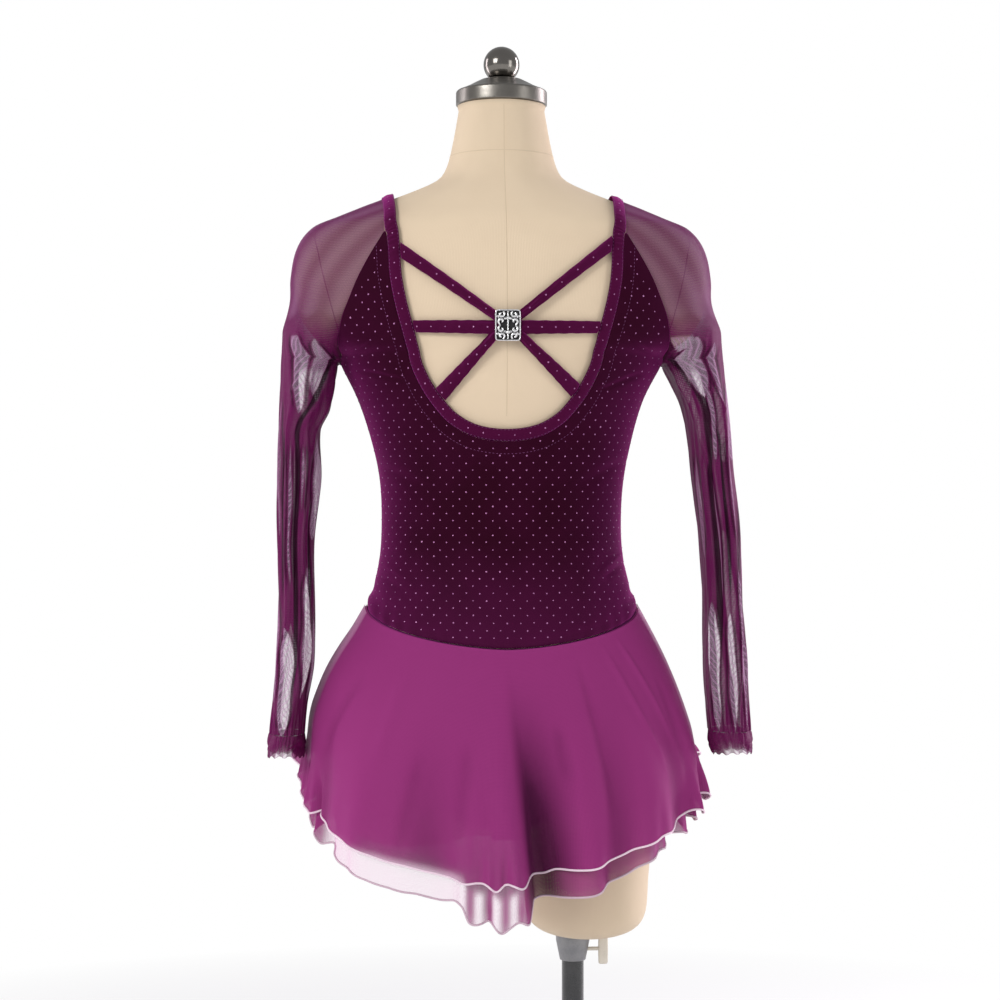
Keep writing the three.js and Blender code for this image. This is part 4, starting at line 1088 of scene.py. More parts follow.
def bodice_grids(face, rows):
    """All four grids of a panel, with the raised places kept where the seams hold them down."""
    grids = []
    for angle, z in panel_places(face):
        for hand in (1, -1):
            right = hand * angle
            out = cloth_out(right, z, rows)
            points = skin(right, z, out)
            uv = np.stack([right * 0.115, z * MM + 0 * angle], -1)
            turned = (hand > 0) == (face == "back")
            grids.append((points, uv) if turned else (points[:, ::-1], uv[:, ::-1]))
    return grids


for face, rows in (("back", BACK_CREASES), ("front", FRONT_CREASES)):
    grids = bodice_grids(face, rows)
    panel = make_piece("velvet_" + face, grids, 0.05)
    thicken(panel, 1.3)
    finish_piece(panel, velvet, "velvet", "form", "bodice_" + face)


# %% [markdown]
# ## Neckline binding
# A folded band of velvet round the whole neckline. Its section is a low cushion: full in the
# middle and drawn in at both stitched edges. It ruches where the curve is tight.

# %% Binding
def binding_grid(hand):
    """Along the neckline by 12 mm across. Section: 1.1 + 1.8 * sin(pi * share) ^ 0.6 mm out."""
    step = np.linspace(0, NECK_END, 520)[None]
    share = np.linspace(0, 1, 13)[:, None]
    angle, z = beside_neck(step, BINDING_WIDTH * (1 - share))
    ruche = 0.1 * np.sin(step * 41)
    for centre, wide, deep, pace in ((10.2, 0.9, 0.4, 27), (3.4, 0.9, 0.2, 36), (8, 0.8, 0.2, 28)):
        lump = deep * np.sin(step * pace + share * 2.5 * hand)
        ruche = ruche + lump * np.exp(-((step - centre) / wide) ** 2)
    ruche = ruche * np.sin(math.pi * share)
    out = 1.1 + 1.8 * np.sin(math.pi * np.clip(share, 0.03, 0.97)) ** 0.6 + ruche
    points = skin(hand * angle, z, out)
    uv = join(step * 0.03, share * 0.012)
    return mirrored(points, hand), mirrored(uv, hand)


binding_grids = [binding_grid(1), binding_grid(-1)]
binding = make_piece("binding_band", binding_grids, 0.05)
thicken(binding, 0.35)
finish_piece(binding, band_velvet, "velvet", "form", "neckline_binding")
print("binding area", area_of(binding_grids))


# %% [markdown]
# ## Straps and bead
# Six straps cross the open back and meet in a bead. Each is a soft band that gathers into two
# pleats as it enters the bead, and all of them lift off the form towards it.

# %% Straps
# Each row: node, hand, heights of its upper and lower edge at the neckline, then x and z of its
# upper corner and of its lower corner at the bead.
STRAPS = [
    ("strap_upper_right", 1, 1055, 1039, 9.5, 976.8, 9.5, 970.8),
    ("strap_middle_right", 1, 971.5, 960, 9.5, 968.8, 9.5, 959.6),
    ("strap_lower_right", 1, 911.5, 899, 17.4, 957.4, 12.8, 950.6),
    ("strap_upper_left", -1, 1047, 1031, 9.5, 976.8, 9.5, 970.8),
    ("strap_middle_left", -1, 971.5, 960, 9.5, 968.8, 9.5, 959.6),
    ("strap_lower_left", -1, 907, 895, 17.4, 957.4, 12.8, 950.6),
]
STRAP_GAP = 0.7
# The bands are this much wider to each side where they gather into the bead.
STRAP_SPREAD = 2.2
back_steps = np.linspace(0, OVER_SHOULDER, 1300)
back_heights = neck(back_steps)[1]


def strap_end(z):
    """The point just inside the neckline's edge where it has the height z."""
    angle, height = beside_neck(np.interp(z, back_heights, back_steps), -STRAP_GAP)
    return on_surface(angle, height)[..., 0], height


def strap_place(row, u, v):
    """The place on a strap: u from the bead to the neckline, v across it."""
    _, hand, neck_top, neck_low, top_x, top_z, low_x, low_z = row
    spread = STRAP_SPREAD if top_x == low_x else 0.5
    top_z, low_z = top_z + spread, low_z - spread
    near = [lerp(a, b, v) for a, b in zip(strap_end(neck_low), strap_end(neck_top))]
    far = lerp(low_x, top_x, v), lerp(low_z, top_z, v)
    angle, z = place_at(lerp(far[0], near[0], u), lerp(far[1], near[1], u), "back")
    return hand * angle, z


def strap_out(u, v, turn):
    """Lift off the form towards the bead, a low crown, and pleats that fade away from it."""
    lift = CLOTH_CLEAR + VELVET + 2.9 * np.clip(1 - u, 0, 1) ** 1.5
    crown = 3.2 * np.sin(math.pi * np.clip(v, 0.03, 0.97)) ** 0.7 - 1.4
    pleat = 0.7 * np.cos(4 * math.pi * v + turn) * np.clip(1 - u, 0, 1) ** 3
    ruche = 0.2 * np.sin(u * 61 + 5 * v + turn) + 0.15 * np.sin(u * 29 - 7 * v + 2 * turn)
    return lift + crown + pleat + ruche * np.sin(math.pi * v)


for index, row in enumerate(STRAPS):
    u = np.linspace(-0.1 if "lower" in row[0] else -0.02, 1, 101)[None]
    v = np.linspace(0, 1, 17)[:, None]
    wave = 0.014 * np.sin(u * 37 + index * 2) * np.sin(math.pi * np.clip(u, 0, 1)) ** 0.5
    angle, z = strap_place(row, u, v + wave)
    points = skin(angle, z, strap_out(u, v, index))
    uv = join(u * 0.09 * row[1], v * 0.013)
    grid = mirrored(points, row[1]), mirrored(uv, row[1])
    band = make_piece(row[0].replace("strap", "band"), [grid])
    thicken(band, 1.2)
    finish_piece(band, band_velvet, "velvet", "form", row[0])


# %% Filigree bead
BEAD_MIDDLE = 966.0
bead_y = float(on_surface(0.0, BEAD_MIDDLE)[1]) - 1.2


def rounded_loop(half_x, half_z, power):
    """A rounded rectangle as a superellipse |x/a|^p + |z/b|^p = 1."""
    turn = ring_angles(96)
    cos, sin = np.cos(turn), np.sin(turn)
    x = half_x * np.sign(sin) * np.abs(sin) ** (2 / power)
    z = half_z * np.sign(cos) * np.abs(cos) ** (2 / power)
    return x, z


def bead_plate(y_in, y_out, half_x, half_z):
    """A closed pillow: the loop shrinks from both faces to the middle, crowned by a cosine."""
    share = np.concatenate([np.linspace(0, 1, 10), np.linspace(1, 0, 10)])[:, None]
    x, z = rounded_loop(half_x, half_z, 10.8)
    front = np.arange(20)[:, None] >= 10
    crown = np.cos(share * math.pi / 2) ** 0.7
    y = np.where(front, lerp(y_out + 0.9, y_out, 1 - crown), y_in)
    points = join(x * share, y, BEAD_MIDDLE + z * share)
    return points, points[..., ::2] * MM


def spiral(x, z, radius, turns, start, hand, y):
    """A scroll: the radius falls from full to a fifth while it turns."""
    t = np.linspace(0, 1, 26)
    angle = start + hand * turns * 2 * math.pi * t
    r = radius * (1 - 0.8 * t)
    return np.stack([x + r * np.cos(angle), y - 0.5 * t, z + r * np.sin(angle)], -1)


face_y = bead_y - 7.0
scrolls = []
for side_x in (1, -1):
    for side_z in (1, -1):
        for px, pz, size, turns, start in (
            (6.3, 10.4, 3.3, 0.95, 2.2), (6.3, 3.5, 3.3, 0.9, -1.3), (9.9, 7.2, 1.5, 0.6, 0.4),
            (2.9, 7.1, 1.5, 0.6, 2.6),
        ):
            path = spiral(px, pz, size, turns, start, 1, face_y)
            path = path * [side_x, 1, side_z] + [0, 0, BEAD_MIDDLE]
            thick = 0.55 + 0.85 * np.sin(np.linspace(0.25, math.pi, 26))
            scrolls.append(tube(path, thick, 6))
rim_x, rim_z = rounded_loop(11.6, 14.4, 11.6)
rim = np.stack([rim_x, 0 * rim_x + face_y + 0.3, BEAD_MIDDLE + rim_z], -1)
bar_z = np.linspace(-13.2, 13.2, 40)
bar = np.stack([0 * bar_z, face_y - 0.5 + 0 * bar_z, BEAD_MIDDLE + bar_z], -1)
bar_radius = 0.75 + 0.25 * np.cos(bar_z * 1.9)
frame_wires = [tube(rim, 0.7, 8, closed=True), tube(bar, bar_radius, 8)]
filigree = make_piece("bead_filigree", scrolls + frame_wires)
finish_piece(filigree, silver, "silver", "form", "strap_bead")
bead_body = make_piece("bead_body", [bead_plate(bead_y, face_y + 0.6, 11.4, 14.4)])
finish_piece(bead_body, tarnish, "silver", "form")


# %% [markdown]
# ## Sleeves
# Each sleeve is one sheet of power mesh. At the shoulder it lies on the surface, between the
# binding and the raglan seams. Below the underarm it hangs as a flattened tube. Long pleats run
# down it, and where few threads overlap the cloth is clear: those slits are rows of a table too.

# %% Sleeve tables
SLEEVE_RIGHT = table("z outer inner half_depth y", [
    [546, 247.5, 212, 30, -16], [560, 246.5, 208.5, 31, -16], [600, 244.5, 204.5, 36, -15],
    [640, 243.5, 202.5, 39, -13], [700, 238.5, 203, 41, -10], [760, 235.5, 199.5, 43, -8],
    [820, 229.5, 192.5, 46, -6], [880, 225, 186.5, 51, -3], [900, 223.5, 181.5, 54, -2],
    [920, 221.5, 173.5, 58, -1], [938, 220, 163.5, 62, 0], [946, 219.5, 163.5, 64, 0],
    [968, 218.5, 163.5, 69, 0], [1005, 215.5, 163.5, 73, 0], [1040, 208, 163.5, 74, 0],
])
SLEEVE_LEFT = table("z outer inner half_depth y", [
    [546, 230, 197.5, 30, -22], [560, 229, 197, 31, -22], [600, 225.5, 193.5, 35, -20],
    [640, 222, 187, 38, -16], [700, 220, 186.5, 41, -12], [760, 221, 187, 43, -9],
    [820, 221.5, 180.5, 46, -6], [870, 220, 181, 51, -4], [890, 219.5, 172, 55, -3],
    [910, 219, 168.5, 58, -2], [938, 218, 163.5, 62, 0], [946, 217.5, 163.5, 64, 0],
    [968, 217, 163.5, 69, 0], [1005, 215.5, 163.5, 73, 0], [1040, 208, 163.5, 74, 0],
])
# Between these two heights the sleeve leaves the surface and starts to hang.
CAP_END, HANG_FROM = 1012, 965
CAP_ROWS = 6
# The head of the sleeve is sewn in this far under the binding.
TUCK = 1.5
SLEEVE_LEVELS = np.array([
    CAP_END, 992, 975, 964, 955, 947, 937.5, 920, 890, 850, 790, 720, 650, 610, 571.3,
])


# %% Sleeve form
def hanging_half(rows, z, share, face):
    """Half an oval at each height, from the outer edge (share 0) to the inner one (share 1). It
    is open at the raglan seam above the underarm and closed below it."""
    sign = -1 if face == "back" else 1
    outer, depth = read(rows, "z", "outer", z), read(rows, "z", "half_depth", z)
    seam = on_surface(raglan_at(z, face) - sign * SEAM_TURN, z)
    open_end = math.pi - np.arcsin(np.minimum(1, np.abs(seam[..., 1]) / depth))
    above = z > UNDERARM
    end = np.where(above, open_end, math.pi)
    closed_half = (outer - read(rows, "z", "inner", z)) / 2
    half = np.where(above, (outer - seam[..., 0]) / (1 - np.cos(end)), closed_half)
    angle = sign * share * end
    x = outer - half * (1 - np.cos(angle))
    y = read(rows, "z", "y", z) + depth * np.sin(angle)
    return join(x, y, z)


def sleeve_half(rows, row, share, face):
    """From the neckline (row 0) over the shoulder (row 6) to the cuff (row 20)."""
    gap = SEAM_TURN * (1 if face == "back" else -1)
    fall = np.clip(row / CAP_ROWS, 0, 1)
    top = beside_neck(lerp(OVER_SHOULDER, JUNCTION[face], share), BINDING_WIDTH - TUCK)
    corner = [float(v) for v in beside_neck(JUNCTION[face], BINDING_WIDTH - TUCK)]
    cap_seam = raglan_at(CAP_END, face)
    angle = lerp(top[0], lerp(math.pi / 2, cap_seam, share), fall)
    height = lerp(top[1], CAP_END, fall)
    seam = raglan_at(lerp(corner[1], CAP_END, fall), face)
    angle = angle + (seam + gap - lerp(corner[0], cap_seam, fall)) * share ** 2
    cap = on_surface(angle, height)
    z = np.interp(row - CAP_ROWS, np.arange(len(SLEEVE_LEVELS)), SLEEVE_LEVELS)
    laid = on_surface(lerp(math.pi / 2, raglan_at(z, face) + gap, share), z)
    hang = hanging_half(rows, z, share, face)
    below = lerp(laid, hang, smooth(-z, -CAP_END, -HANG_FROM)[..., None])
    return np.where((row < CAP_ROWS)[..., None], cap, below)


def along_normals(points, closed=False):
    """The outward direction at each point of a grid, from its neighbours."""
    right = np.gradient(points, axis=1)
    if closed:
        wrap = points[:, 1] - points[:, -2]
        right[:, 0] = right[:, -1] = wrap
    return unit(np.cross(right, np.gradient(points, axis=0)))


# %% Sleeve pleats
# Each row: (turn0, z0, turn1, z1, width, depth). A turn of -1 is the inner edge seen from the
# back, 0 the outer edge and 1 the inner edge seen from the front.
PLEATS_RIGHT = [
    (-0.92, 940, -0.60, 820, 0.05, 3.2), (-0.86, 945, -0.40, 850, 0.04, -2.6),
    (-0.78, 950, -0.26, 880, 0.04, 2.4), (-0.62, 905, -0.66, 640, 0.05, -3.2),
    (-0.52, 890, -0.55, 590, 0.04, 2.6), (-0.43, 860, -0.46, 700, 0.035, -2.4),
    (-0.34, 930, -0.36, 610, 0.05, 2.6), (-0.24, 800, -0.22, 580, 0.04, -2.4),
    (-0.14, 930, -0.12, 700, 0.04, 1.8), (-0.80, 780, -0.78, 600, 0.05, 2.4),
    (0.88, 940, 0.56, 820, 0.05, 3.0), (0.72, 935, 0.34, 860, 0.05, -2.6),
    (0.46, 900, 0.50, 640, 0.05, 2.6), (0.30, 860, 0.27, 600, 0.05, -2.8),
    (0.66, 820, 0.70, 590, 0.05, -2.6), (0.14, 920, 0.12, 640, 0.05, 2.0),
]
PLEATS_LEFT = [
    (-0.94, 935, -0.66, 830, 0.05, 3.2), (-0.84, 945, -0.46, 860, 0.04, -2.6),
    (-0.72, 948, -0.30, 900, 0.04, 2.2), (-0.60, 900, -0.63, 690, 0.045, 2.6),
    (-0.50, 880, -0.52, 600, 0.04, -3.0), (-0.36, 910, -0.36, 620, 0.045, 2.6),
    (-0.26, 870, -0.24, 700, 0.04, -2.2), (-0.76, 800, -0.80, 700, 0.04, -3.0),
    (-0.16, 930, -0.15, 560, 0.04, 1.8), (-0.68, 740, -0.60, 590, 0.05, 2.2),
    (0.86, 940, 0.58, 830, 0.05, 3.0), (0.70, 935, 0.36, 870, 0.05, -2.6),
    (0.48, 890, 0.46, 650, 0.05, 2.6), (0.28, 850, 0.30, 600, 0.05, -2.8),
    (0.68, 820, 0.66, 590, 0.05, -2.6), (0.12, 920, 0.14, 660, 0.05, 2.0),
]
# Clear windows between the pleats, the same on both faces: the same columns, with half the
# window's width and how much light it lets pass.
SLITS_RIGHT = [
    (-0.86, 970, -0.80, 946, 0.13, 0.85), (-0.66, 960, -0.60, 900, 0.13, 0.85),
    (-0.40, 955, -0.36, 896, 0.055, 0.85), (-0.53, 912, -0.52, 838, 0.045, 0.8),
    (-0.17, 918, -0.18, 838, 0.075, 0.8), (-0.33, 868, -0.30, 752, 0.04, 0.75),
    (-0.76, 700, -0.73, 570, 0.08, 0.85), (-0.50, 690, -0.47, 570, 0.06, 0.8),
    (-0.27, 770, -0.24, 570, 0.09, 0.85), (-0.62, 820, -0.60, 700, 0.035, 0.7),
    (-0.10, 800, -0.10, 690, 0.04, 0.6), (-0.86, 850, -0.88, 740, 0.05, 0.6),
]
SLITS_LEFT = [
    (-0.40, 972, -0.46, 884, 0.085, 0.85), (-0.68, 956, -0.60, 900, 0.09, 0.7),
    (-0.40, 858, -0.42, 712, 0.024, 0.9), (-0.57, 856, -0.57, 786, 0.02, 0.8),
    (-0.84, 866, -0.86, 760, 0.11, 0.78), (-0.17, 905, -0.18, 760, 0.035, 0.6),
    (-0.70, 735, -0.70, 606, 0.10, 0.8), (-0.34, 676, -0.42, 570, 0.14, 0.86),
    (-0.13, 720, -0.16, 600, 0.05, 0.7), (-0.90, 690, -0.88, 600, 0.06, 0.7),
]


def windows(turn, z, rows):
    """How clear the cloth is in each window, and how dark round it: an oval with soft edges
    about a slanting line, rimmed by a denser band that also takes painted shade. None is near the
    shoulder."""
    clear, rim = np.zeros(turn.shape), np.zeros(turn.shape)
    for turn0, z0, turn1, z1, half, share in rows:
        t = (z - z0) / (z1 - z0)
        middle = lerp(turn0, turn1, np.clip(t, 0, 1)) + 0.005 * np.sin(z / 13 + 30 * turn0)
        uneven = 1 + 0.16 * np.sin(z / 11.3 + 17 * turn0)
        reach = half * uneven * np.clip(4 * t * (1 - t), 0, 1) ** 0.55
        past = np.abs(-np.abs(turn) - middle) - reach
        clear = np.maximum(clear, share * smooth(-past, -0.01, 0.022) * (reach > 0.004))
        fade = smooth(4 * t * (1 - t), 0, 0.5)
        rim = np.maximum(rim, fade * np.exp(-((past - 0.02) / 0.02) ** 2))
    low = lerp(smooth(-z, -964, -956), 0.85 * smooth(-z, -942, -925), turn > 0)
    return clear * low, rim * (clear < 0.05) * low


def sleeve_grid(rows, hand, pleats, slits):
    """The sheet, moved out by its pleats, with how clear each point of it is."""
    cap_rows = np.linspace(0, CAP_ROWS, 45, endpoint=False)
    heights = np.linspace(CAP_END, SLEEVE_LEVELS[-1], 230)
    below = CAP_ROWS + np.interp(-heights, -SLEEVE_LEVELS, np.arange(len(SLEEVE_LEVELS)))
    row = np.concatenate([cap_rows, below])[::-1, None]
    share = np.linspace(0, 1, 111)[None]
    back = sleeve_half(rows, row, share, "back")[:, ::-1]
    front = sleeve_half(rows, row, share, "front")[:, 1:]
    points = np.concatenate([back, front], 1)
    turn = np.concatenate([-share[:, ::-1], share[:, 1:]], 1)
    z = points[..., 2]
    hanging = 1 - smooth(z, 930, 975)
    hold = 1 - smooth(np.abs(turn), 0.88, 1.0)
    ripple = 0.5 * np.sin(turn * 40 + z / 31) + 0.35 * np.sin(turn * 67 - z / 17)
    gather = 0.8 * np.sin(turn * 86) * (1 - smooth(z, 572, 612))
    folds = creases(turn, z, pleats) + ripple + gather
    shoulder = 0.35 * np.sin(turn * 9 + z / 13) * smooth(z, 975, 1010)
    under = 0.7 * (1 - smooth(row, 0, 0.6))
    out = 1.0 - under + hold * (folds * hanging + np.maximum(shoulder, -0.3))
    points = points + along_normals(points) * out[..., None]
    window, rim = windows(turn + 0 * z, z + 0 * turn, slits)
    # Pleat troughs and window rims are made denser, and the same share darkens the colour as
    # painted shade.
    doubled_and_painted_shade = smooth(-creases(-np.abs(turn), z, pleats), 0.3, 1.3) * hanging
    doubled_and_painted_shade = np.maximum(doubled_and_painted_shade, 0.85 * rim)
    base = lerp(0.18, 0.45, smooth(z, 955, 985)) + 0.03 * np.sin(turn * 21 + z / 37)
    base = base - 0.06 * (1 - smooth(z, 571, 600))
    base = lerp(base, 0.05, 0.8 * doubled_and_painted_shade)
    clear = np.maximum(base, window)
    uv = np.stack([turn * 0.12 + 0 * z, z * MM], -1)
    points = points * [hand, 1, 1]
    # Painted shade in the troughs and rims, but not inside the windows.
    shade = doubled_and_painted_shade * (1 - smooth(window, 0.05, 0.3))
    return [mirrored(part, hand) for part in (points, uv, clear, shade)]


for side, hand, rows, pleats, slits in (
    ("right", 1, SLEEVE_RIGHT, PLEATS_RIGHT, SLITS_RIGHT),
    ("left", -1, SLEEVE_LEFT, PLEATS_LEFT, SLITS_LEFT),
):
    grid = sleeve_grid(rows, hand, pleats, slits)
    piece = make_piece("sleeve_mesh_" + side, [grid])
    finish_piece(piece, mesh_cloth, "power_mesh", "form", "sleeve_" + side)


# %% Cuffs
CUFF_BOTTOM, CUFF_TOP = 546.2, 571.0


def cuff_grid(rows, hand):
    """A gathered band of elastic: the oval of the sleeve's end with small tucks, tilted a little
    so that its mouth shows."""
    share = np.linspace(0, 1, 121)[None]
    up = np.linspace(0, 1, 17)[:, None]
    halves = []
    for face in ("back", "front"):
        z = lerp(CUFF_BOTTOM, CUFF_TOP, up) + 0 * share
        half = hanging_half(rows, z, share, face)
        halves.append(half[:, ::-1] if face == "back" else half[:, 1:])
    points = np.concatenate(halves, 1)
    turn = np.concatenate([-share[:, ::-1], share[:, 1:]], 1)
    tuck = 1.1 * np.abs(np.sin(turn * 37 + 2.2 * np.sin(turn * 13) + 1.9 * up))
    tuck = tuck + 0.7 * np.sin(turn * 17 - 5 * up)
    roll = 1.2 * np.sin(math.pi * up) ** 0.5 - 0.9 * np.exp(-((up - 0.45) / 0.08) ** 2)
    hold = 1 - smooth(np.abs(turn), 0.95, 1.0)
    out = 0.5 + (tuck + roll) * hold
    points = points + along_normals(points, True) * out[..., None]
    points[..., 2] += 2.2 * (1 - up) * np.sin(turn * 19) ** 2 + 3.0 * (1 - up) * (turn < 0) * (
        np.sin(np.abs(turn) * math.pi))
    uv = join(turn * 0.08, up * 0.025)
    mouth = (1 - smooth(up, 0.14, 0.4)) * np.exp(-((np.abs(turn) - 0.45) / 0.26) ** 4)
    clear = 0.14 + 0.62 * mouth * (0.7 + 0.3 * np.sin(turn * 47))
    points = points * [hand, 1, 1]
    return mirrored(points, hand), mirrored(uv, hand), mirrored(clear, hand)


for side, hand, rows in (("right", 1, SLEEVE_RIGHT), ("left", -1, SLEEVE_LEFT)):
    grid = cuff_grid(rows, hand)
    piece = make_piece("cuff_band_" + side, [grid])
    finish_piece(piece, mesh_cloth, "power_mesh", "form", "cuff_" + side)


# %% [markdown]
# ## Skirt
# Two layers of chiffon stand out from the waist seam and hang in soft flutes. Main flutes are in a
# table with their angle, width on each side and depth. Short creases and the frill of the rolled
# hem are added to them. Towards the hem the cloth pales and clears.

# %% Skirt tables
FLARE = table("drop left right back front", [
    [0, 0, 0, 0, 0], [20, 12, 11, 11, 9], [40, 26, 21.5, 20, 17], [60, 38, 31, 28, 24],
    [80, 47, 39, 35, 30], [100, 54, 46, 41, 35], [120, 57, 52, 47, 39], [150, 59.5, 58, 53, 44],
    [190, 63, 60, 58, 48], [260, 68, 64, 63, 52],
])
HEM = table("angle over under", [
    [-180, 138, 156], [-140, 143, 162], [-110, 152, 176], [-85, 179, 196], [-63, 190, 217],
    [-37, 203, 230], [-20, 209, 234], [-13, 211, 235], [-11, 211, 247], [-6, 214, 252],
    [0, 213, 252], [4.5, 212, 249], [6.5, 210, 237], [12, 207, 234], [27, 203, 229],
    [45, 193, 212], [65, 188, 204], [88, 171, 187], [110, 152, 172], [140, 143, 162],
    [180, 138, 156],
])
# Angle, width to the left and right in degrees, depth in mm, share of the drop where it starts.
FLUTES = [
    (8.0, 3.6, 12, -36, 0.02), (0.5, 5, 4.0, 9, 0.15), (22, 8, 8, 6, 0.25), (31, 6, 9, -9, 0.1),
    (44, 9, 9, 5, 0.3), (57, 8, 8, -7, 0.2), (72, 9, 9, 5, 0.35), (88, 8, 8, -6, 0.3),
    (106, 9, 9, 7, 0.3), (122, 9, 9, -9, 0.2), (140, 10, 10, 7, 0.3), (158, 9, 9, -10, 0.2),
    (174, 9, 9, 7, 0.3), (-169, 9, 9, -9, 0.25), (-151, 10, 10, 7, 0.3), (-133, 9, 9, -9, 0.2),
    (-116, 9, 9, 6, 0.3), (-79, 9, 9, -4, 0.4), (-63, 9, 7, -8, 0.3), (-44, 10, 10, 6, 0.3),
    (-23, 9, 9, -9, 0.25), (-9, 6, 6, 4, 0.35),
]
# The flutes near the middle slant: they start this many degrees to the left of where they end.
LEAN = 7.5
# Short creases on both layers: (angle0, share0, angle1, share1, width, depth).
SKIRT_CREASES = [
    (-55, 0.25, -66, 0.70, 2.2, -2.0), (-36, 0.1, -40, 0.6, 2.6, 1.4),
    (-26, 0.5, -31, 0.95, 2, -2.2), (-12, 0.42, -13, 0.85, 2.4, -2.6),
    (15, 0.35, 17, 0.62, 2.0, -3.0), (26, 0.12, 30, 0.8, 1.8, -2.4),
    (38, 0.05, 52, 0.72, 1.5, 1.8), (46, 0.0, 60, 0.6, 1.4, 1.8), (62, 0.3, 66, 0.9, 2.4, -2.0),
    (78, 0.2, 80, 0.8, 2.4, 1.8), (100, 0.1, 97, 0.7, 2.4, -2.0), (115, 0.3, 118, 0.9, 2.6, 1.8),
    (131, 0.1, 130, 0.7, 2.4, -1.8), (150, 0.2, 152, 0.8, 2.8, 1.8),
    (168, 0.1, 166, 0.6, 2.4, -1.8), (-176, 0.2, -174, 0.8, 2.4, 1.6),
    (-160, 0.1, -158, 0.7, 2.6, -1.8), (-142, 0.2, -144, 0.8, 2.4, 1.8),
    (-124, 0.1, -122, 0.7, 2.4, -1.8), (-104, 0.2, -106, 0.9, 2.6, 2.0),
    (-92, 0.1, -90, 0.6, 2.2, -1.6),
]
LAYERS = {"over": (4.9, 0.0), "under": (2.9, -8.0)}


# %% Skirt form
def flutes(degrees, share):
    """Soft ridges and troughs round the skirt, deepening from where each starts to the hem."""
    total = 0
    for angle, left, right, depth, start in FLUTES:
        lean = LEAN * np.exp(-(((angle - 5) / 12) ** 2)) * (1 - share)
        apart = (degrees - angle + lean + 540) % 360 - 180
        width = np.where(apart < 0, left, right)
        total = total + depth * np.exp(-2 * (apart / width) ** 2) * smooth(share, start, 1.1)
    return total


def frill(layer, degrees, share):
    """The rolled edge stretches the hem, so it waves: about thirty-six waves of uneven length,
    in and out and up and down, growing over the last quarter of the drop."""
    late = 1.9 if layer == "under" else 0
    phase = degrees * 0.62 + 2.4 * np.sin(degrees / 17 + late) + 1.3 * np.sin(degrees / 6.1) + late
    seam = np.cos(np.radians(degrees) / 2)
    middle = 0.8 if layer == "under" else 0.45
    side = np.exp(-((np.abs(degrees) - 80) / 25) ** 2)
    side = side + middle * np.exp(-((degrees + 3) / 10) ** 2)
    calm = 1 - 0.85 * np.exp(-((degrees + 42) / 24) ** 4)
    calm = calm - 0.4 * np.exp(-((degrees - 38) / 18) ** 4)
    uneven = 0.45 + 0.55 * np.sin(degrees / 4.3 + 2 * np.sin(degrees / 13)) ** 2
    size = (2.0 + 9.0 * side) * calm * uneven * smooth(seam, 0.0, 0.06)
    grow = smooth(share, 0.72, 1.03)
    curl = 0.35 * np.sin(2 * phase + 0.7)
    reach = {"over": (31, 10), "under": (20, 6)}[layer]
    lobe = reach[0] * np.exp(-((degrees + 108) / 6) ** 2)
    lobe = (lobe + reach[1] * np.exp(-((degrees - 103) / 6) ** 2)) * smooth(share, 0.82, 1.02)
    return size * grow * (np.sin(phase) + curl) + lobe, (
        0.7 * size * grow * np.cos(phase + 0.6) + 0.3 * lobe)


def skirt_points(layer, degrees, share):
    """The waist seam's point, moved out by the flare, flutes, creases and frill, and down."""
    drop = 0.6 + share * (read(HEM, "angle", layer, degrees) - 0.6)
    angle = np.radians(degrees)
    top = on_surface(angle, waist(angle))
    left, right, back, front = (
        read(FLARE, "drop", name, drop) for name in ("left", "right", "back", "front"))
    side = np.where(degrees < 0, left, right)
    end = np.where(np.cos(angle) > 0, back, front)
    flare = lerp(end, side, np.sin(angle) ** 2)
    over_share = np.minimum(drop / read(HEM, "angle", "over", degrees), 1.1)
    wave, lift = frill(layer, degrees, share)
    spread = LAYERS[layer][1] * smooth(drop, 10, 150)
    fine = creases(degrees, share, SKIRT_CREASES) * smooth(share, 0, 0.15)
    out = LAYERS[layer][0] + spread + flare + flutes(degrees, over_share) + fine + wave
    x = top[..., 0] + out * np.sin(angle)
    y = top[..., 1] - out * np.cos(angle)
    return np.stack([x, y, top[..., 2] - drop + lift], -1)


def skirt_clear(layer, degrees, share):
    """How clear the chiffon is: dense above, clearer at the sides, and faded out towards the hem
    on the left of the back."""
    faded = smooth(degrees, -70, -64) * (1 - smooth(degrees, 0, 4))
    middle = smooth(degrees, -15, -12)
    faded = faded * lerp(1, 0.5 + 0.5 * np.sin(degrees * 1.35 + 0.5), middle)
    if layer == "over":
        strip = smooth(np.abs(degrees), 71, 81) * (1 - smooth(np.abs(degrees), 88, 118))
        base = lerp(0.13, 0.74, strip * (1 - smooth(share, 0.7, 0.92)))
        melt = smooth(degrees, -50, -36) * (1 - smooth(degrees, -16, -6))
        fade = smooth(share, 0.9, 1.01) * 0.42 * melt
        return np.clip(base + fade, 0.1, 0.86)
    fade = smooth(share, 0.86, 0.91) * 0.66 * faded + smooth(share, 0.95, 1.0) * 0.1 * (1 - faded)
    return np.clip(0.16 + fade, 0.1, 0.86)


def skirt_shade(degrees, share):
    """Painted shade in the deep troughs, where little light reaches: the flutes' and creases'
    depth below zero, at most 0.85."""
    depth = flutes(degrees, np.minimum(share, 1.1)) + 1.2 * creases(degrees, share, SKIRT_CREASES)
    return np.clip(-depth / 24, 0, 0.85)


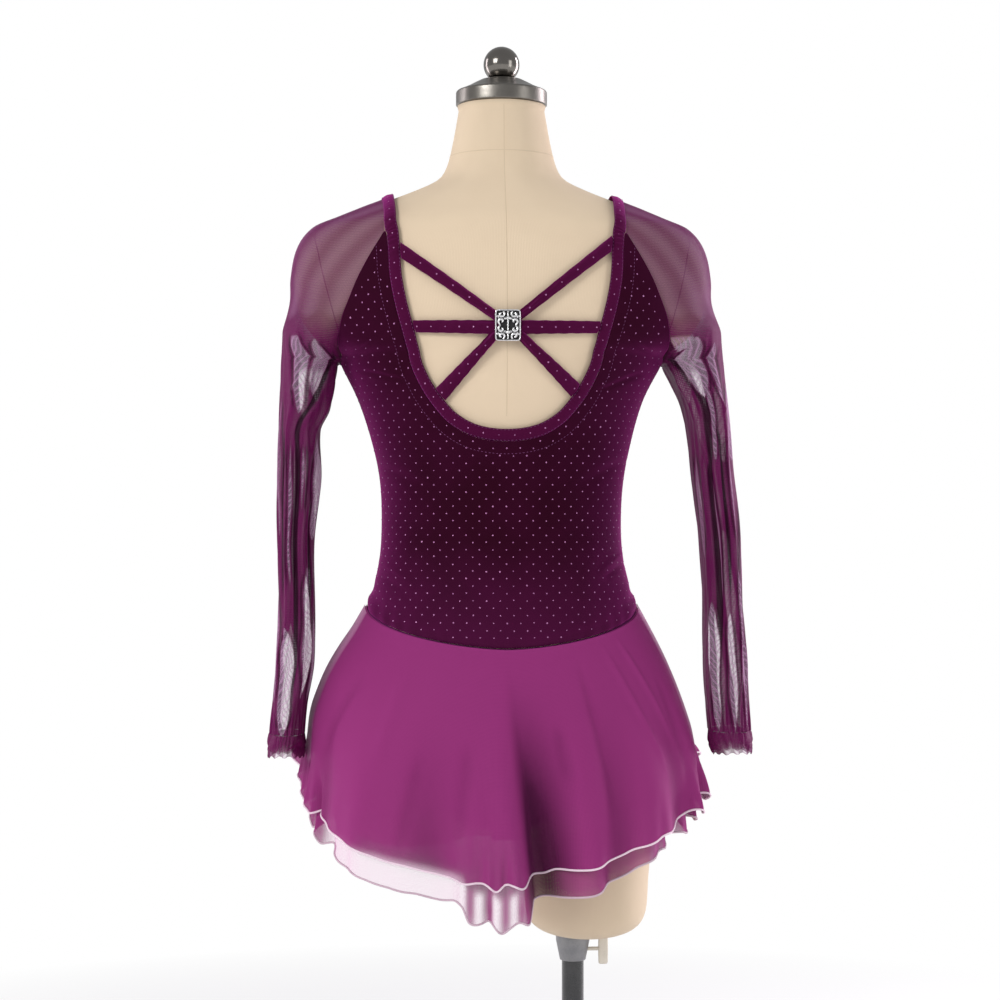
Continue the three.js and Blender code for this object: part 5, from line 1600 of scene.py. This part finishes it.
# %% Skirt layers and hems
for layer in ("over", "under"):
    degrees = np.linspace(-180, 180, 721)[None]
    share = (1 - np.linspace(0, 1, 71)[:, None] ** 1.2)
    points = skirt_points(layer, degrees, share)
    clear = skirt_clear(layer, degrees, share)
    run = np.radians(degrees) * 0.19 + 0 * share
    uv = join(run, -share * 0.2)
    # Painted shade in the troughs of the flutes and creases.
    shade = skirt_shade(degrees, share)
    grid = points, uv, clear, shade
    piece = make_piece("chiffon_" + layer, [grid])
    edge = skirt_points(layer, np.linspace(-180, 180, 1441), np.ones(1441))
    hem = make_piece("hem_edge_" + layer, [tube(edge, 1.0, 8, up=(0, 0, 1), closed=True)])
    finish_piece(piece, chiffon, "chiffon", "form", "skirt_" + layer)
    # The under hem takes the darker thread: painted shade.
    hem_thread = {"over": thread_pink, "under": thread_pink_painted_shade}[layer]
    finish_piece(hem, hem_thread, "thread", "form", "hem_" + layer)


# %% [markdown]
# ## Brief
# A plain brief is sewn in under the skirt. It is cut high at the legs and closed between them.

# %% Brief
# Heights of the leg opening at the side and between the legs, half the width there, the wall.
LEG_SIDE, BRIEF_BOTTOM, CROTCH_HALF, BRIEF = 604, 486.0, 13, 1.2
crotch_angle = math.asin(CROTCH_HALF / float(read(BODY, "z", "side", BRIEF_BOTTOM)))


def brief_point(angle, share):
    """From the leg opening up to the waist seam."""
    side = smooth(np.arcsin(np.abs(np.sin(angle))), crotch_angle, math.pi / 2)
    low = lerp(BRIEF_BOTTOM, LEG_SIDE, side ** 0.7)
    z = lerp(low, waist(angle) - SEAM_GAP, share ** 1.6)
    return skin(angle, z, CLOTH_CLEAR + BRIEF + 0.12 * np.sin(angle * 40 + z / 9))


share = np.linspace(0, 1, 31)[:, None]
brief_angle = np.linspace(-math.pi, math.pi, 181)[None]
brief_points = brief_point(brief_angle, share)
brief_uv = join(brief_angle * 0.14, share * 0.15)
u = np.linspace(0, 1, 13)[None]
strip_angle = lerp(-crotch_angle, crotch_angle, u)
back_y, front_y = on_surface(0.0, BRIEF_BOTTOM)[1], on_surface(math.pi, BRIEF_BOTTOM)[1]
v = np.linspace(0, 1, 61)[:, None]
strip_y = lerp(front_y, back_y, v) * 1.01
strip_z = lerp(BODY["z"][0], BRIEF_BOTTOM, np.abs(2 * v - 1) ** 16) - CLOTH_CLEAR - BRIEF
strip = join(lerp(-CROTCH_HALF, CROTCH_HALF, u), strip_y, strip_z).copy()
strip[0] = brief_point(math.pi - strip_angle[0], 0.0)
strip[-1] = brief_point(strip_angle[0], 0.0)
strip_uv = join(u * 0.026, v * 0.18)
brief_grids = [(brief_points, brief_uv), (strip, strip_uv)]
brief = make_piece("brief_velvet", brief_grids, 0.3)
thicken(brief, 0.8)
finish_piece(brief, brief_cloth, "velvet", "form", "brief")


# %% [markdown]
# ## Foil dots
# Tiny foil dots are printed all over the velvet, in staggered rows. Thousands of them would be
# heavy as spheres, so each is a dome of six triangles, tilted a little by a seeded draw so that
# they glint unevenly.

# %% Dots
DOT_PITCH, DOT_ROW, DOT_RADIUS = 12.8, 7.0, 0.8


def dot_places(face):
    """Staggered rows round a panel: equal steps of length along the section at each height, kept
    where they lie inside the binding, the raglan seam and the waist seam."""
    steps = PANEL_STEPS[face]
    edge_steps = np.linspace(steps[0], steps[-1], 400)
    edge_angle, edge_z = beside_neck(edge_steps, EDGE + 3)
    turn = np.linspace(-math.pi / 2, math.pi / 2, 721)
    base = 0 if face == "back" else math.pi
    angles, heights = [], []
    for index, z in enumerate(np.arange(640, 1056, DOT_ROW)):
        section = on_surface(turn + base, z)
        lengths = np.linalg.norm(np.diff(section, axis=0), axis=1)
        run = np.concatenate([[0], lengths.cumsum()])
        run = run - run[360]
        marks = (np.arange(-30, 31) + 0.5 * (index % 2)) * DOT_PITCH
        marks = marks[(marks > run[0]) & (marks < run[-1])]
        angle = np.interp(marks, run, turn)
        inner = np.interp(z, edge_z, np.abs(edge_angle - base), left=-1)
        outer = abs(raglan_at(z, face) - base) - 0.03 if z > UNDERARM - 6 else math.pi / 2
        keep = (np.abs(angle) > inner) & (np.abs(angle) < outer)
        keep &= z > waist(angle + base) + 4
        angles.append(angle[keep] + base)
        heights.append(np.full(keep.sum(), z))
    return np.concatenate(angles), np.concatenate(heights)


def even_steps(away, start, stop, pitch):
    """Steps of the neckline at equal lengths along the line beside it."""
    fine = np.linspace(start, stop, 900)
    line = on_surface(*beside_neck(fine, away))
    run = np.concatenate([[0], np.linalg.norm(np.diff(line, axis=0), axis=1).cumsum()])
    return np.interp(np.arange(pitch / 2, run[-1], pitch), run, fine)


def frames(centre, normal):
    """Two directions in the cloth at right angles to each normal."""
    right = unit(np.cross(normal, np.array([0, 0.02, -1.0])) * -1)
    return right, np.cross(normal, right)


def domes(name, centre, normal, radius, height):
    """One mesh of shallow six-sided domes on the given points."""
    tilt = normal + random.normal(0, 0.16, normal.shape)
    right, up = frames(centre, unit(tilt))
    turn = (np.arange(6) * math.pi / 3)[None, :, None]
    size = (radius * random.uniform(0.8, 1.15, len(centre)))[:, None, None]
    ring = centre[:, None] + size * (np.cos(turn) * right[:, None] + np.sin(turn) * up[:, None])
    top = (centre + unit(tilt) * height)[:, None]
    points = np.concatenate([ring, top], 1).reshape(-1, 3)
    first = (np.arange(len(centre)) * 7)[:, None]
    k = np.arange(6)
    tops = np.broadcast_to(first + 6, (len(centre), 6))
    faces = np.stack([first + k, first + (k + 1) % 6, tops], -1)
    uvs = points[:, ::2] * MM
    values = {"value": np.repeat(random.uniform(0, 1, len(centre)), 7)}
    return mesh_object(name, points, faces.reshape(-1, 3), uvs, values, 0, False)


dot_centres, dot_normals = [], []
for face, rows in (("back", BACK_CREASES), ("front", FRONT_CREASES)):
    angle, z = dot_places(face)
    z = z + random.normal(0, 0.25, len(z))
    dot_centres.append(skin(angle, z, cloth_out(angle, z, rows) + 0.05))
    dot_normals.append(surface_normal(angle, z))
band_steps = even_steps(BINDING_WIDTH / 2, 0, NECK_END, 15)
for hand in (1, -1):
    angle, z = beside_neck(band_steps, BINDING_WIDTH / 2)
    dot_centres.append(skin(hand * angle, z, np.full(len(z), 2.95)))
    dot_normals.append(surface_normal(hand * angle, z))
for index, row in enumerate(STRAPS):
    u = np.linspace(0.12, 0.96, 6)
    angle, z = strap_place(row, u, 0.5)
    dot_centres.append(skin(angle, z, strap_out(u, 0.5, index) + 0.1))
    dot_normals.append(surface_normal(angle, z))
dots = domes(
    "foil_dots", np.concatenate(dot_centres), np.concatenate(dot_normals), DOT_RADIUS, 0.3)
finish_piece(dots, foil, "silver", "form")


# %% [markdown]
# ## Stitches
# Lines of stitches hold the binding. Each stitch is a small lozenge along the line, and all of
# them are one mesh.

# %% Stitches
def stitches(points, normals, length, width, height):
    """Lozenges centred on every other gap of a path: four corners in the cloth and a raised
    middle."""
    along = unit(np.gradient(points, axis=0))
    side = np.cross(normals, along)
    corners = [along * length / 2, side * width / 2, -along * length / 2, -side * width / 2]
    ring = np.stack([points + c for c in corners], 1)
    top = (points + normals * height)[:, None]
    verts = np.concatenate([ring, top], 1).reshape(-1, 3)
    first = (np.arange(len(points)) * 5)[:, None]
    k = np.arange(4)
    faces = np.stack(
        [first + k, first + (k + 1) % 4, np.broadcast_to(first + 4, (len(points), 4))], -1)
    return verts, faces.reshape(-1, 3)


stitch_points, stitch_faces, count = [], [], 0
stitch_lines = [
    (BINDING_WIDTH - 0.9, 0, NECK_END, lambda a, z: 2.3), (0.9, 0, NECK_END, lambda a, z: 2.3),
    (BINDING_WIDTH * 2, 0, JUNCTION["back"] - 0.7,
     lambda a, z: cloth_out(a, z, BACK_CREASES) + 0.1),
    (BINDING_WIDTH * 2, JUNCTION["front"] + 0.7, NECK_END,
     lambda a, z: cloth_out(a, z, FRONT_CREASES) + 0.1),
]
for away, start, stop, rise in stitch_lines:
    step = even_steps(away, start, stop, 3.6)
    for hand in (1, -1):
        angle, z = beside_neck(step, away)
        angle = hand * angle
        line = skin(angle, z, rise(angle, z) + 0 * z)
        normals = surface_normal(angle, z)
        verts, faces = stitches(line, normals, 2.6, 0.7, 0.3)
        stitch_points.append(verts)
        stitch_faces.append(faces + count)
        count += len(verts)
verts, faces = np.concatenate(stitch_points), np.concatenate(stitch_faces)
stitch_piece = mesh_object("binding_stitches", verts, faces, verts[:, ::2] * MM, {}, 0)
finish_piece(stitch_piece, stitch_purple, "thread", "form")
